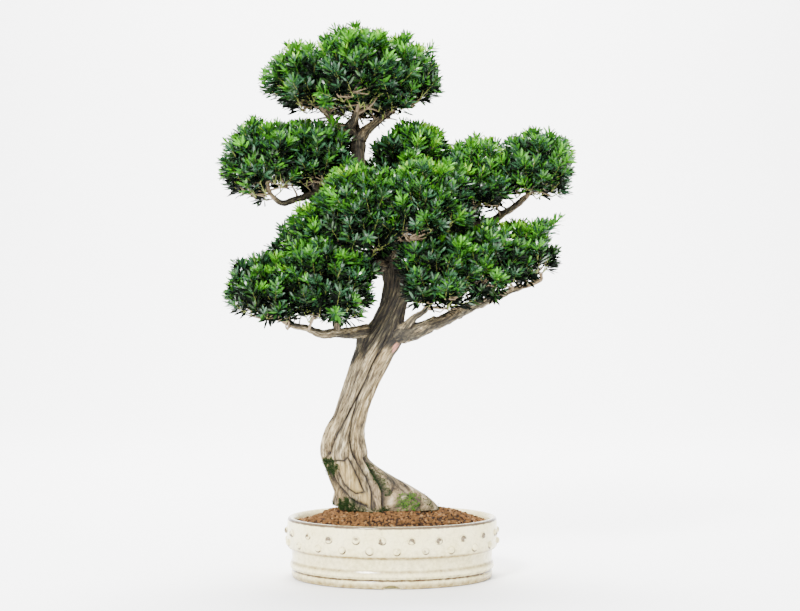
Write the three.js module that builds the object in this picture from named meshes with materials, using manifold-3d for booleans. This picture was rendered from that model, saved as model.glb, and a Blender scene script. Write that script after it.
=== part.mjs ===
// A podocarpus bonsai in an oval glazed pot, in millimetres, +Z up.
// The origin is the middle of the pot's flat underside. +X is the viewer's right and -Y faces the viewer.
import * as THREE from "three";
import { mergeVertices } from "three/addons/utils/BufferGeometryUtils.js";
import Module from "manifold-3d";

const wasm = await Module();
wasm.setup();

// Clearance between neighbouring pieces, and how far a limb is grown before it is cut out of its neighbours
const GAP = 0.3;
const LIMB_CLEARANCE = 0.33;
const STEM_CLEARANCE = 0.36;
const TRUNK_CLEARANCE = 0.38;
// Points closer than this are one point
const WELD = 1e-3;

// Pot: an oval drum with two rows of studs on its band and a cut-out in the middle of each side of its foot
const POT_HALF_WIDTH = 131.5;
const POT_DEPTH_SHARE = 0.8;
const POT_SIDES = 36;
const RIM_HEIGHT = 75;
const RIM_THICKNESS = 8;
const RIM_TAPER = 1.2;
const FLOOR_HEIGHT = 12;
const WALL_DRAFT = 9;
const BAND_FOOT = 39;
const FOOT_NOTCH = { count: 4, width: 20, height: 5, shoulder: 4, depth: 11 };
const STUDS_PER_ROW = 22;
const STUD_ROWS = [58, 46];
const STUD_SINK = 0.5;
const STUD = { foot: 3.9, top: 2.2, proud: 2.6, sunk: 1.2, sides: 5 };

// Soil: a low mound that rises from the pot's wall to a level seat under the trunk, lumpy with grains
const SOIL_EDGE = 69;
const GROUND = 84;
const GROUND_SHARE = 0.6;
const SOIL_SIDES = 24;
const SOIL_RINGS = [1, 0.88, 0.76, 0.64, 0.52, 0.4];
const LUMPS = { depth: 3.4, spread: 4375, perRing: 12.9898, perSide: 78.233 };

// Trunk stations from the ground to the fork: height, middle x, middle y, half-width
const TRUNK_STATIONS = [
  [GROUND + GAP, -34, 0, 28],
  [108, -41, -2, 30],
  [133, -51, -5, 31.5],
  [156, -59, -8, 29],
  [175, -60, -8, 25.5],
  [205, -52, -4, 21.5],
  [237, -40, 0, 21.5],
  [270, -26, 5, 24.5],
  [301, -11, 8, 24.5],
  [322, -4, 9, 19],
  [350, 4.5, 10, 16.2],
  [378, 4.5, 10, 16.2],
  [395, 0, 10, 15],
  [422, -9, 9, 11.8],
  [452, -23, 7, 10.3],
  [483, -35, 4, 9.4],
  [515, -41, 2, 8.5],
  [546, -44, 0, 8],
];
const TRUNK_SIDES = 32;
const TRUNK_RING_STEP = 16;
const TRUNK_DEPTH_SHARE = 0.9;
// Flutes twist up the trunk: their count, depth as a share of the radius, turn in radians for each
// millimetre of height, and where they fade
const FLUTES = { count: 5, depth: 0.07, twist: 0.006, fadeFrom: 300, fadeOver: 120 };
// Roots: angle in degrees from +X, reach past the column, height where it has faded, and width in degrees
const ROOTS = [
  { angle: -7, reach: 67, top: 150, width: 27 },
  { angle: 58, reach: 34, top: 132, width: 24 },
  { angle: 128, reach: 32, top: 128, width: 24 },
  { angle: 208, reach: 4, top: 108, width: 22 },
  { angle: -72, reach: 17, top: 118, width: 24 },
];
// Shoulders under the boughs: width in degrees, and each one's angle, reach, height and half-height
const SHOULDER_WIDTH = 34;
const SHOULDERS = [
  { angle: -18, reach: 7, level: 297, tall: 16 },
  { angle: 186, reach: 5, level: 302, tall: 12 },
  { angle: -5, reach: 4, level: 394, tall: 12 },
  { angle: 200, reach: 3, level: 392, tall: 12 },
  { angle: 140, reach: 2.5, level: 472, tall: 9 },
  { angle: 190, reach: 2.5, level: 541, tall: 8 },
  { angle: 0, reach: 2.5, level: 541, tall: 8 },
];
// Valleys between the strands on the trunk's front: depth, and the way of each by x and height
const VALLEY_HALF_WIDTH = 6.5;
const VALLEYS = [
  { depth: 5.2, way: [[-16, 278], [-39, 228], [-59, 197], [-81, 155]] },
  { depth: 5.4, way: [[-39, 228], [-50, 172], [-28, 126], [-23, 88]] },
  { depth: 5.4, way: [[-28, 149], [-7, 109], [-7, 92]] },
  { depth: 4, way: [[-79, 132], [-63, 106], [-30, 91]] },
];

// Boughs: the way of each from inside its parent to its tip, and its half-thickness at both ends
const LIMB_SIDES = 6;
const LIMB_RING_STEP = 19;
const LIMB_TAPER = 1.2;
const LIMBS = {
  bough_left_lower: {
    thick: 8,
    thin: 3.4,
    way: [[-18, 8, 306], [-45, 0, 304], [-80, -14, 303], [-103, -18, 308], [-131, -24, 317]],
  },
  bough_right_lower: {
    thick: 11,
    thin: 2.8,
    way: [[-5, 2, 296], [15, -6, 303], [47, -14, 313], [78, -18, 327], [142, -12, 353], [184, -8, 369]],
  },
  bough_right_upper: {
    thick: 9,
    thin: 3.6,
    way: [[5, 10, 391], [31, 6, 406], [85, 10, 430], [125, 16, 445], [151, 20, 461], [169, 22, 475]],
  },
  bough_left_upper: {
    thick: 6.2,
    thin: 3.2,
    way: [[-34, 4, 476], [-59, 8, 478], [-102, 10, 477], [-137, 4, 466], [-147, 1, 472]],
  },
  bough_centre_left: {
    thick: 8,
    thin: 4.6,
    way: [[0, 8, 391], [-20, -6, 389], [-36, -18, 390], [-50, -29, 401]],
  },
  bough_centre_front: { thick: 7, thin: 4.2, way: [[2, 6, 398], [10, -14, 406], [24, -31, 414]] },
  bough_centre_top: { thick: 5.4, thin: 3.4, way: [[-20, 7, 449], [-5, 6, 461], [13, 6, 474]] },
  bough_back_left: { thick: 7, thin: 4, way: [[3, 12, 374], [-12, 38, 392], [-30, 58, 414]] },
  bough_back_right: { thick: 7.4, thin: 4, way: [[5, 12, 350], [26, 36, 364], [48, 56, 386]] },
  bough_back_low_left: { thick: 6, thin: 3.4, way: [[0, 14, 384], [-35, 34, 382], [-66, 46, 374]] },
  bough_back_low_right: { thick: 6, thin: 3.4, way: [[8, 14, 374], [45, 32, 376], [80, 46, 376]] },
  bough_far_left: { thick: 5, thin: 3, way: [[-4, 12, 404], [-30, 10, 402], [-58, 2, 402]] },
  bough_apex_left: {
    thick: 6.6,
    thin: 3.6,
    way: [[-44, 0, 540], [-55, -1, 555], [-70, -4, 564], [-84, -7, 580]],
  },
  bough_apex_right: {
    thick: 6.4,
    thin: 3.6,
    way: [[-43, 0, 540], [-32, 0, 556], [-14, 3, 570], [0, 6, 581]],
  },
  bough_apex_back: { thick: 5, thin: 3.2, way: [[-44, 2, 542], [-45, 18, 560], [-47, 32, 580]] },
  branch_apex_front: { thick: 4.6, thin: 3.2, way: [[-58, -2, 557], [-48, -12, 567], [-43, -22, 579]] },
  branch_left_upper: { thick: 4, thin: 3, way: [[-92, 10, 478], [-96, 13, 490], [-98, 14, 494]] },
  branch_right_upper: { thick: 4.6, thin: 3.2, way: [[92, 11, 433], [99, 12, 446], [102, 13, 456]] },
  branch_left_lower: { thick: 4.4, thin: 3, way: [[-66, -10, 304], [-68, -17, 316], [-69, -22, 326]] },
  branch_right_lower: {
    thick: 5.4,
    thin: 3,
    way: [[8, -4, 304], [24, -20, 321], [40, -26, 331], [46, -29, 341]],
  },
  branch_right_lower_outer: {
    thick: 3.8,
    thin: 2.8,
    way: [[122, -15, 345], [119, -16, 357], [118, -17, 362]],
  },
};

// Masses of foliage, by the cloud that they form together: the limb whose tip carries each, the middle of
// its space, half-widths along x and y, and how far it rises above and drops below its middle
const CLOUDS = {
  apex: {
    apex_left: ["bough_apex_left", [-98, -8, 612], [64, 62], 50, 50],
    apex_right: ["bough_apex_right", [6, 6, 616], [57, 62], 50, 52],
    apex_front: ["branch_apex_front", [-42, -40, 628], [56, 54], 56, 60],
    apex_back: ["bough_apex_back", [-48, 48, 626], [60, 56], 52, 54],
  },
  left_upper: {
    left_upper_outer: ["bough_left_upper", [-158, -8, 518], [55, 60], 45, 50],
    left_upper_inner: ["branch_left_upper", [-96, 12, 526], [54, 62], 46, 52],
  },
  centre: {
    centre_top: ["bough_centre_top", [28, 10, 512], [48, 54], 57, 52],
    centre_left: ["bough_centre_left", [-40, -50, 452], [56, 58], 58, 60],
    centre_right: ["bough_centre_front", [44, -52, 456], [58, 56], 58, 60],
  },
  right_upper: {
    right_upper_outer: ["bough_right_upper", [174, 16, 512], [56, 58], 42, 48],
    right_upper_inner: ["branch_right_upper", [108, 12, 498], [55, 60], 46, 56],
  },
  left_lower: {
    left_lower_outer: ["bough_left_lower", [-147, -18, 353], [59, 58], 46, 50],
    left_lower_inner: ["branch_left_lower", [-80, -34, 370], [58, 56], 56, 62],
    left_middle: ["bough_far_left", [-88, -4, 416], [47, 50], 43, 48],
  },
  right_lower: {
    right_lower_inner: ["branch_right_lower", [58, -46, 382], [56, 54], 50, 62],
    right_lower_middle: ["branch_right_lower_outer", [114, -22, 390], [54, 56], 46, 50],
    right_lower_outer: ["bough_right_lower", [160, -8, 398], [44, 50], 40, 44],
  },
  back: {
    back_left: ["bough_back_left", [-40, 88, 462], [70, 64], 60, 56],
    back_right: ["bough_back_right", [54, 86, 442], [70, 64], 60, 60],
    back_low_left: ["bough_back_low_left", [-96, 56, 398], [62, 54], 44, 42],
    back_low_right: ["bough_back_low_right", [107, 57, 400], [60, 54], 44, 44],
  },
};
// A space is a rounded block rather than an egg: 2 would make it an ellipsoid
const SPACE_POWER = 2.4;
// Neighbouring spaces keep this much apart, as a share of their size
const SPACE_MARGIN = 0.03;
// Foliage opens like a fan from the outer part of its cloud's limbs, and nothing hangs below this slope
const FAN = { slope: 0.45, from: 0.5, steps: 8 };
// The core is fuller above than below, where bare twigs come out of it. Leaf sprays rise from its faces.
const CORE_SHARE = { above: 0.74, below: 0.58, fullFrom: -0.7 };
const CORE_DETAIL = 2;
const CORE_NOISE = 0.12;
const SPRAY_SHARE = 0.6;
const SPRAY_REACH = [0.9, 1];
const SPRAY_LEAN = [0.64, 0.18, 0.18];
const SPRAY_LOWEST = -0.75;
// The search for a mass's furthest own place: its step, its least share, the room it keeps to the next
// mass, and how far out that room is looked for
const SEARCH = { step: 0.02, least: 0.1, room: 0.06, furthest: 2 };
// The stem that carries a mass runs on past its limb's tip, bends, and ends at the hub where the twigs part
const STEM = { onward: 6, hubShare: 0.35, thick: 0.92, thin: 0.7 };
// Bare twigs below the core, each ending in a leaf
const TWIGS = { count: 3, reach: 0.74, radius: 1.6, swell: 1.3, scatter: 0.4, rise: 0.25 };
const TWIG_DROP = [0.45, 0.95];
const LEAF = { longest: 32, shortest: 12, step: 2, width: 0.17, flatness: 0.3, widest: 0.42, point: 0.25 };
const FOLIAGE_SEED = { first: 977, step: 31 };

const FINISHES = {
  pot: { colour: "#e6e0c8", roughness: 0.3 },
  soil: { colour: "#8a5a3a", roughness: 0.95 },
  bark: { colour: "#a39480", roughness: 0.85 },
  leaf: { colour: "#2f6b22", roughness: 0.5 },
};

const UP = new THREE.Vector3(0, 0, 1);

const vector = (numbers) => new THREE.Vector3(...numbers);

// Smooth step from 0 to 1.
const eased = (t) => {
  const held = Math.min(1, Math.max(0, t));
  return held * held * (3 - 2 * held);
};

// A bell: 1 at the middle, and falling off with the square of the distance in widths.
const bell = (distance, width) => Math.exp(-((distance / width) ** 2));

// Random numbers from 0 to 1 that are the same on each run.
function seeded(seed) {
  let state = seed >>> 0;
  return () => {
    state = (state + 0x6d2b79f5) >>> 0;
    let mixed = Math.imul(state ^ (state >>> 15), state | 1);
    mixed ^= mixed + Math.imul(mixed ^ (mixed >>> 7), mixed | 61);
    return ((mixed ^ (mixed >>> 14)) >>> 0) / 4294967296;
  };
}

// A geometry with only its places, each held once.
function welded(geometry) {
  const bare = geometry.clone();
  bare.deleteAttribute("normal");
  bare.deleteAttribute("uv");
  return mergeVertices(bare, WELD);
}

// A closed solid from a geometry whose faces point out.
function solid(geometry) {
  const merged = welded(geometry);
  return new wasm.Manifold(
    new wasm.Mesh({
      numProp: 3,
      vertProperties: new Float32Array(merged.attributes.position.array),
      triVerts: new Uint32Array(merged.index.array),
    }),
  );
}

// The largest body of a solid, with sealed hollows filled and loose scraps dropped.
function mainBody(shape) {
  return shape
    .decompose()
    .reduce((best, body) => (body.volume() > best.volume() ? body : best));
}

// A flat-shaded geometry from a solid.
function geometryOf(shape) {
  const mesh = shape.getMesh();
  const geometry = new THREE.BufferGeometry();
  const places = new Float32Array(mesh.numVert * 3);
  for (let i = 0; i < mesh.numVert; i += 1) {
    const start = i * mesh.numProp;
    places.set(mesh.vertProperties.subarray(start, start + 3), i * 3);
  }
  geometry.setAttribute("position", new THREE.BufferAttribute(places, 3));
  geometry.setIndex(new THREE.BufferAttribute(mesh.triVerts, 1));
  const flat = geometry.toNonIndexed();
  flat.computeVertexNormals();
  return flat;
}

// A geometry from points and the numbers of its faces' corners.
function faceted(points, corners) {
  const geometry = new THREE.BufferGeometry();
  const numbers = points.flatMap((p) => [p.x, p.y, p.z]);
  geometry.setAttribute("position", new THREE.Float32BufferAttribute(numbers, 3));
  geometry.setIndex(corners);
  return geometry;
}

// A closed skin over rings of points, each ring running anticlockwise seen from its far side. Its flat ends
// are fans from the rings' first points, or from poles inside them where poles are given.
function skin(rings, poles = []) {
  const sides = rings[0].length;
  const last = (rings.length - 1) * sides;
  const faces = [];
  for (let ring = 0; ring + 1 < rings.length; ring += 1) {
    for (let side = 0; side < sides; side += 1) {
      const next = (side + 1) % sides;
      const [a, b] = [ring * sides + side, ring * sides + next];
      const [c, d] = [b + sides, a + sides];
      faces.push(a, b, c, a, c, d);
    }
  }
  for (let side = 0; side < sides; side += 1) {
    const next = (side + 1) % sides;
    if (poles.length > 0) {
      const pole = last + sides;
      faces.push(pole, next, side, pole + 1, last + side, last + next);
    } else if (side > 0 && next > 0) {
      faces.push(0, next, side, last, last + side, last + next);
    }
  }
  return faceted([...rings.flat(), ...poles], faces);
}

// A ring of points round a middle, square to a direction; below 1, flatness presses it into a blade.
function ringAround(middle, along, radius, sides, flatness = 1) {
  const helper = Math.abs(along.z) > 0.9 ? new THREE.Vector3(1, 0, 0) : UP;
  const across = new THREE.Vector3().crossVectors(helper, along).normalize();
  const other = new THREE.Vector3().crossVectors(along, across);
  return Array.from({ length: sides }, (_, side) => {
    const turn = (2 * Math.PI * side) / sides;
    return middle
      .clone()
      .addScaledVector(across, radius * Math.cos(turn))
      .addScaledVector(other, radius * flatness * Math.sin(turn));
  });
}

const limbCurve = (way) => new THREE.CatmullRomCurve3(way.map(vector), false, "centripetal");

// A tapering limb along a smooth way, grown by extra all round.
function taperedLimb({ way, thick, thin }, extra = 0) {
  const curve = limbCurve(way);
  const steps = Math.max(2, Math.round(curve.getLength() / LIMB_RING_STEP));
  const { normals, binormals } = curve.computeFrenetFrames(steps);
  const rings = Array.from({ length: steps + 1 }, (_, at) => {
    const t = at / steps;
    const radius = thin + (thick - thin) * (1 - t) ** LIMB_TAPER + extra;
    const middle = curve.getPointAt(t);
    return Array.from({ length: LIMB_SIDES }, (__, side) => {
      const turn = (2 * Math.PI * side) / LIMB_SIDES;
      return middle
        .clone()
        .addScaledVector(normals[at], radius * Math.cos(turn))
        .addScaledVector(binormals[at], radius * Math.sin(turn));
    });
  });
  return solid(skin(rings));
}

// Pot

// The pot's outline from the middle of its underside, up the outside, over the rim and down the inside.
function potProfile() {
  const half = POT_HALF_WIDTH;
  const innerTop = half - RIM_TAPER - RIM_THICKNESS;
  return [
    [0, 0],
    [half - 10, 0],
    [half - 7, 2.5],
    [half - 6, 8],
    [half - 7.2, 10],
    [half - 4.5, 14],
    [half - 4.5, 19],
    [half - 6, 23],
    [half - 5.8, BAND_FOOT - 4],
    [half - 0.6, BAND_FOOT],
    [half, BAND_FOOT + 14],
    [half - RIM_TAPER, RIM_HEIGHT - 2],
    [half - 2 * RIM_TAPER, RIM_HEIGHT],
    [innerTop + 1.5, RIM_HEIGHT],
    [innerTop, RIM_HEIGHT - 1.5],
    [innerTop - WALL_DRAFT, FLOOR_HEIGHT],
    [0, FLOOR_HEIGHT],
  ].map(([x, y]) => new THREE.Vector2(x, y));
}

// An oval turned from a profile of half-width and height.
function ovalTurned(profile, sides) {
  const geometry = new THREE.LatheGeometry(profile, sides);
  geometry.rotateX(Math.PI / 2);
  geometry.scale(1, POT_DEPTH_SHARE, 1);
  return geometry;
}

// Places at equal steps round the pot's oval, with the outward direction at each.
function roundTheOval(count, halfWidth, phase) {
  const oval = new THREE.EllipseCurve(0, 0, halfWidth, halfWidth * POT_DEPTH_SHARE);
  return Array.from({ length: count }, (_, at) => {
    const place = oval.getPointAt(((at + phase) / count) % 1);
    const outward = new THREE.Vector2(place.x, place.y / POT_DEPTH_SHARE ** 2).normalize();
    return { place, turn: Math.atan2(outward.y, outward.x) - Math.PI / 2 };
  });
}

// Two rows of studs, a half step apart.
function potStuds() {
  return STUD_ROWS.flatMap((height, row) =>
    roundTheOval(STUDS_PER_ROW, POT_HALF_WIDTH - STUD_SINK, row / 2).map(({ place, turn }) => {
      const stud = new THREE.CylinderGeometry(STUD.top, STUD.foot, STUD.proud + STUD.sunk, STUD.sides);
      stud.translate(0, (STUD.proud - STUD.sunk) / 2, 0);
      stud.rotateZ(turn);
      stud.translate(place.x, place.y, height);
      return solid(stud);
    }),
  );
}

// Four cut-outs part the foot moulding into corner feet.
function footNotches() {
  const { count, width, height, shoulder, depth } = FOOT_NOTCH;
  return roundTheOval(count, POT_HALF_WIDTH, 0).map(({ place, turn }) => {
    const shape = new THREE.Shape();
    shape.moveTo(-width / 2, -1);
    shape.lineTo(-width / 4, shoulder);
    shape.lineTo(0, height);
    shape.lineTo(width / 4, shoulder);
    shape.lineTo(width / 2, -1);
    const notch = new THREE.ExtrudeGeometry(shape, { depth: 2 * depth, bevelEnabled: false });
    notch.rotateX(Math.PI / 2);
    notch.translate(0, depth, 0);
    notch.rotateZ(turn);
    notch.translate(place.x, place.y, 0);
    return solid(notch);
  });
}

function pot() {
  const body = wasm.Manifold.union([solid(ovalTurned(potProfile(), POT_SIDES)), ...potStuds()]);
  return mainBody(body.subtract(wasm.Manifold.union(footNotches())));
}

// Soil

// How far a point of the mound is lowered, by a chance that the numbers of its ring and side fix.
const lump = (ring, side) =>
  LUMPS.depth * (Math.abs(LUMPS.spread * Math.sin(LUMPS.perRing * ring + LUMPS.perSide * side)) % 1);

// The soil fills the pot and rises to a level seat under the trunk, with lumpy rings round the seat.
function soil() {
  const innerTop = POT_HALF_WIDTH - RIM_TAPER - RIM_THICKNESS - GAP / POT_DEPTH_SHARE;
  const bottom = FLOOR_HEIGHT + GAP;
  const wall = (height) =>
    innerTop - WALL_DRAFT * ((RIM_HEIGHT - height) / (RIM_HEIGHT - FLOOR_HEIGHT)) - GAP;
  const ringOf = (half, heightAt) =>
    Array.from({ length: SOIL_SIDES }, (_, side) => {
      const turn = (2 * Math.PI * side) / SOIL_SIDES;
      const [x, y] = [half * Math.cos(turn), half * POT_DEPTH_SHARE * Math.sin(turn)];
      return new THREE.Vector3(x, y, heightAt(side));
    });
  const seat = SOIL_RINGS.length - 1;
  const mound = SOIL_RINGS.map((share, ring) => {
    const rise = eased((1 - share) / (1 - GROUND_SHARE));
    const height = SOIL_EDGE + (GROUND - SOIL_EDGE) * rise;
    const lumpy = ring > 0 && ring < seat;
    return ringOf(wall(SOIL_EDGE) * share, (side) => height - (lumpy ? lump(ring, side) : 0));
  });
  const poles = [new THREE.Vector3(0, 0, bottom), new THREE.Vector3(0, 0, GROUND)];
  return solid(skin([ringOf(wall(bottom), () => bottom), ...mound], poles));
}

// Trunk

// A smooth reading of the trunk's stations at a height: middle x, middle y and half-width.
const trunkCurves = [1, 2, 3].map(
  (column) =>
    new THREE.CatmullRomCurve3(
      TRUNK_STATIONS.map((row) => new THREE.Vector3(row[0], row[column], 0)),
      false,
      "centripetal",
    ),
);

function trunkAt(share) {
  const [x, y, half] = trunkCurves.map((curve) => curve.getPoint(share));
  return { z: x.x, x: x.y, y: y.y, half: half.y };
}

// The angle in degrees between an angle in radians and one in degrees.
function awayFrom(angle, degrees) {
  const turned = angle - THREE.MathUtils.degToRad(degrees);
  return THREE.MathUtils.radToDeg(Math.atan2(Math.sin(turned), Math.cos(turned)));
}

// How far the trunk's skin stands from its middle at a height and an angle in radians, with its flutes,
// roots and shoulders.
function trunkReach(z, half, angle) {
  const grip = 1 - eased((z - FLUTES.fadeFrom) / FLUTES.fadeOver);
  const flute = 1 + grip * FLUTES.depth * Math.cos(FLUTES.count * (angle - FLUTES.twist * z));
  const roots = ROOTS.map((root) => {
    const fade = eased((root.top - z) / (root.top - GROUND));
    return root.reach * fade * bell(awayFrom(angle, root.angle), root.width);
  });
  const shoulders = SHOULDERS.map(
    ({ reach, level, tall, ...shoulder }) =>
      reach * bell(awayFrom(angle, shoulder.angle), SHOULDER_WIDTH) * bell(z - level, tall),
  );
  return [...roots, ...shoulders].reduce((sum, part) => sum + part, half * flute);
}

// How deep the valleys between the strands are at a place on the trunk's front.
function valleyDepth(x, z, angle) {
  const front = Math.min(1, Math.max(0, -2.5 * Math.sin(angle)));
  const place = new THREE.Vector2(x, z);
  const depths = VALLEYS.flatMap(({ depth, way }) =>
    way.slice(1).map((end, at) => {
      const run = new THREE.Vector2(...end).sub(new THREE.Vector2(...way[at]));
      const from = place.clone().sub(new THREE.Vector2(...way[at]));
      const share = Math.min(1, Math.max(0, from.dot(run) / run.lengthSq()));
      return depth * bell(from.addScaledVector(run, -share).length(), VALLEY_HALF_WIDTH);
    }),
  );
  return front * Math.max(...depths);
}

function trunk(extra = 0) {
  const height = TRUNK_STATIONS.at(-1)[0] - TRUNK_STATIONS[0][0];
  const steps = Math.round(height / TRUNK_RING_STEP);
  const levels = Array.from({ length: steps + 1 }, (_, at) => {
    const level = trunkAt(at / steps);
    const lift = extra * (at === 0 ? -1 : at === steps ? 1 : 0);
    return { ...level, top: level.z + lift };
  });
  const rings = levels.map(({ x, y, z, half, top }) =>
    Array.from({ length: TRUNK_SIDES }, (_, side) => {
      const angle = (2 * Math.PI * side) / TRUNK_SIDES;
      const plain = trunkReach(z, half, angle);
      const reach = plain - valleyDepth(x + plain * Math.cos(angle), z, angle) + extra;
      return new THREE.Vector3(
        x + reach * Math.cos(angle),
        y + reach * Math.sin(angle) * TRUNK_DEPTH_SHARE,
        top,
      );
    }),
  );
  const poles = [levels[0], levels.at(-1)].map(({ x, y, top }) => new THREE.Vector3(x, y, top));
  return solid(skin(rings, poles));
}

// Boughs

// Every limb, each cut clear of the trunk and of the limbs made before it, and the space that all take.
function boughs(trunkGrown) {
  const made = new Map();
  let taken = trunkGrown;
  for (const [name, limb] of Object.entries(LIMBS)) {
    made.set(name, mainBody(taperedLimb(limb).subtract(taken)));
    taken = taken.add(taperedLimb(limb, LIMB_CLEARANCE));
  }
  return { made, taken };
}

// Foliage

// Every mass, with the places on its cloud's limbs that the foliage fans out from.
const MASSES = Object.values(CLOUDS).flatMap((masses) => {
  const fanFrom = Object.values(masses).flatMap(([limb]) => {
    const curve = limbCurve(LIMBS[limb].way);
    return Array.from({ length: FAN.steps + 1 }, (_, at) =>
      curve.getPointAt(FAN.from + ((1 - FAN.from) * at) / FAN.steps),
    );
  });
  return Object.entries(masses).map(([name, [limb, middle, half, rise, drop]]) => ({
    name: `foliage_${name}`,
    limb,
    middle,
    half,
    rise,
    drop,
    fanFrom,
  }));
});

// How far out a place lies in a mass's space: 0 at its middle, 1 on its surface.
function farOut(mass, place) {
  const [dx, dy, dz] = mass.middle.map((value, axis) => place.getComponent(axis) - value);
  const shares = [dx / mass.half[0], dy / mass.half[1], dz / (dz > 0 ? mass.rise : mass.drop)];
  return shares.reduce((sum, share) => sum + Math.abs(share) ** SPACE_POWER, 0) ** (1 / SPACE_POWER);
}

// True where a place lies above the slope that rises from the nearest of its cloud's limbs.
function aboveFan(mass, place) {
  return mass.fanFrom.some(
    (from) => place.z > from.z + FAN.slope * Math.hypot(place.x - from.x, place.y - from.y),
  );
}

// True where a place is in this mass's space and in no neighbour's.
function ownPlace(mass, place, limit = 1) {
  const here = farOut(mass, place);
  if (here > limit || !aboveFan(mass, place)) return false;
  return MASSES.every((other) => other === mass || farOut(other, place) > here + SPACE_MARGIN);
}

// The furthest place from the middle along a direction that lies at a share of the space and is the mass's
// own.
function reachAlong(mass, direction, share) {
  const middle = vector(mass.middle);
  const whole = 1 / farOut(mass, middle.clone().add(direction));
  for (let part = share; part > SEARCH.least; part -= SEARCH.step) {
    const beyond = middle.clone().addScaledVector(direction, whole * (part + SEARCH.room));
    if (ownPlace(mass, beyond, SEARCH.furthest)) {
      return middle.clone().addScaledVector(direction, whole * part);
    }
  }
  return middle;
}

// A core smaller than the space and drawn in beside its neighbours. Sprays of leaves rise from most of its
// faces as slim points, each leaning to one corner.
function core(mass, random) {
  const ball = welded(new THREE.IcosahedronGeometry(1, CORE_DETAIL));
  const directions = Array.from({ length: ball.attributes.position.count }, (_, at) =>
    new THREE.Vector3().fromBufferAttribute(ball.attributes.position, at).normalize(),
  );
  const { above, below, fullFrom } = CORE_SHARE;
  const places = directions.map((outward) => {
    const share = below + (above - below) * eased((outward.z - fullFrom) / -fullFrom);
    return reachAlong(mass, outward, share * (1 + CORE_NOISE * (random() - 0.5)));
  });
  const faces = [];
  const corners = [...ball.index.array];
  for (let start = 0; start < corners.length; start += 3) {
    const [a, b, c] = corners.slice(start, start + 3);
    const lean = Math.floor(3 * random());
    const toward = new THREE.Vector3();
    [a, b, c].forEach((corner, at) => {
      toward.addScaledVector(directions[corner], SPRAY_LEAN[(at + lean) % 3]);
    });
    toward.normalize();
    const reach = SPRAY_REACH[0] + (SPRAY_REACH[1] - SPRAY_REACH[0]) * random();
    if (random() > SPRAY_SHARE || toward.z < SPRAY_LOWEST) {
      faces.push(a, b, c);
      continue;
    }
    const tip = places.push(reachAlong(mass, toward, reach)) - 1;
    faces.push(a, b, tip, b, c, tip, c, a, tip);
  }
  return solid(faceted(places, faces));
}

// The longest that a leaf can be from a place along a direction and stay in its mass's space.
function roomAlong(mass, from, along) {
  for (let length = LEAF.longest; length >= LEAF.shortest; length -= LEAF.step) {
    if (ownPlace(mass, from.clone().addScaledVector(along, length))) return length;
  }
  return 0;
}

// A slim three-sided twig that ends in a leaf: the twig flattens out into the blade and runs to its point.
function twigWithLeaf(from, end, onward, length) {
  const outward = end.clone().sub(from).normalize();
  const widest = end.clone().addScaledVector(onward, length * LEAF.widest);
  const tip = end.clone().addScaledVector(onward, length);
  return solid(
    skin([
      ringAround(from, outward, TWIGS.radius * TWIGS.swell, 3),
      ringAround(end, outward, TWIGS.radius, 3),
      ringAround(widest, onward, length * LEAF.width, 3, LEAF.flatness),
      ringAround(tip, onward, LEAF.point, 3),
    ]),
  );
}

// The stem that carries a mass, from just past its limb's tip to the hub where its twigs part.
function stemOf(mass) {
  const { way, thin } = LIMBS[mass.limb];
  const [before, tip] = way.slice(-2).map(vector);
  const onward = tip.clone().sub(before).normalize();
  const start = tip.clone().addScaledVector(onward, GAP);
  const bend = start.clone().addScaledVector(onward, STEM.onward);
  const hub = vector(mass.middle).lerp(bend, STEM.hubShare);
  const shape = {
    way: [start, bend, hub].map((p) => p.toArray()),
    thick: thin * STEM.thick,
    thin: thin * STEM.thin,
  };
  return { hub, stem: taperedLimb(shape), grown: taperedLimb(shape, STEM_CLEARANCE) };
}

// One mass of foliage: a stem, a core with sprays, and twigs that come out below it. Nothing of it touches a
// limb or another mass's stem.
function foliage(mass, order, { hub, stem }, keepOut) {
  const random = seeded(FOLIAGE_SEED.first + FOLIAGE_SEED.step * order);
  const pieces = [stem, core(mass, random).subtract(keepOut)];
  const start = random() * 2 * Math.PI;
  const [high, low] = TWIG_DROP;
  for (let count = 0; count < TWIGS.count; count += 1) {
    const turn = start + (2 * Math.PI * (count + TWIGS.scatter * random())) / TWIGS.count;
    const drop = high + (low - high) * random();
    const outward = new THREE.Vector3(Math.cos(turn), Math.sin(turn), -drop).normalize();
    const end = reachAlong(mass, outward, TWIGS.reach);
    const onward = outward.clone().addScaledVector(UP, TWIGS.rise * (2 * random() - 1)).normalize();
    const length = roomAlong(mass, end, onward);
    const line = [0.25, 0.5, 0.75, 1].map((t) => hub.clone().lerp(end, t));
    if (length === 0 || !line.every((place) => ownPlace(mass, place))) continue;
    const stick = twigWithLeaf(hub, end, onward, length);
    if (stick.intersect(keepOut).isEmpty()) pieces.push(stick);
  }
  return mainBody(wasm.Manifold.union(pieces));
}

// The whole plant in its pot

function mesh(name, shape, { colour, roughness }) {
  const color = new THREE.Color(colour);
  const material = new THREE.MeshStandardMaterial({ color, roughness, metalness: 0 });
  const made = new THREE.Mesh(geometryOf(shape), material);
  made.name = name;
  return made;
}

const group = new THREE.Group();
group.add(mesh("pot", pot(), FINISHES.pot));
group.add(mesh("soil", soil(), FINISHES.soil));
group.add(mesh("trunk", trunk(), FINISHES.bark));

const { made: limbSolids, taken: limbsGrown } = boughs(trunk(TRUNK_CLEARANCE));
for (const [name, shape] of limbSolids) {
  group.add(mesh(name, shape, FINISHES.bark));
}
const stems = MASSES.map(stemOf);
MASSES.forEach((mass, order) => {
  const others = stems.filter((_, at) => at !== order).map(({ grown }) => grown);
  const keepOut = wasm.Manifold.union([limbsGrown, ...others]);
  group.add(mesh(mass.name, foliage(mass, order, stems[order], keepOut), FINISHES.leaf));
});

export default group;
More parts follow.
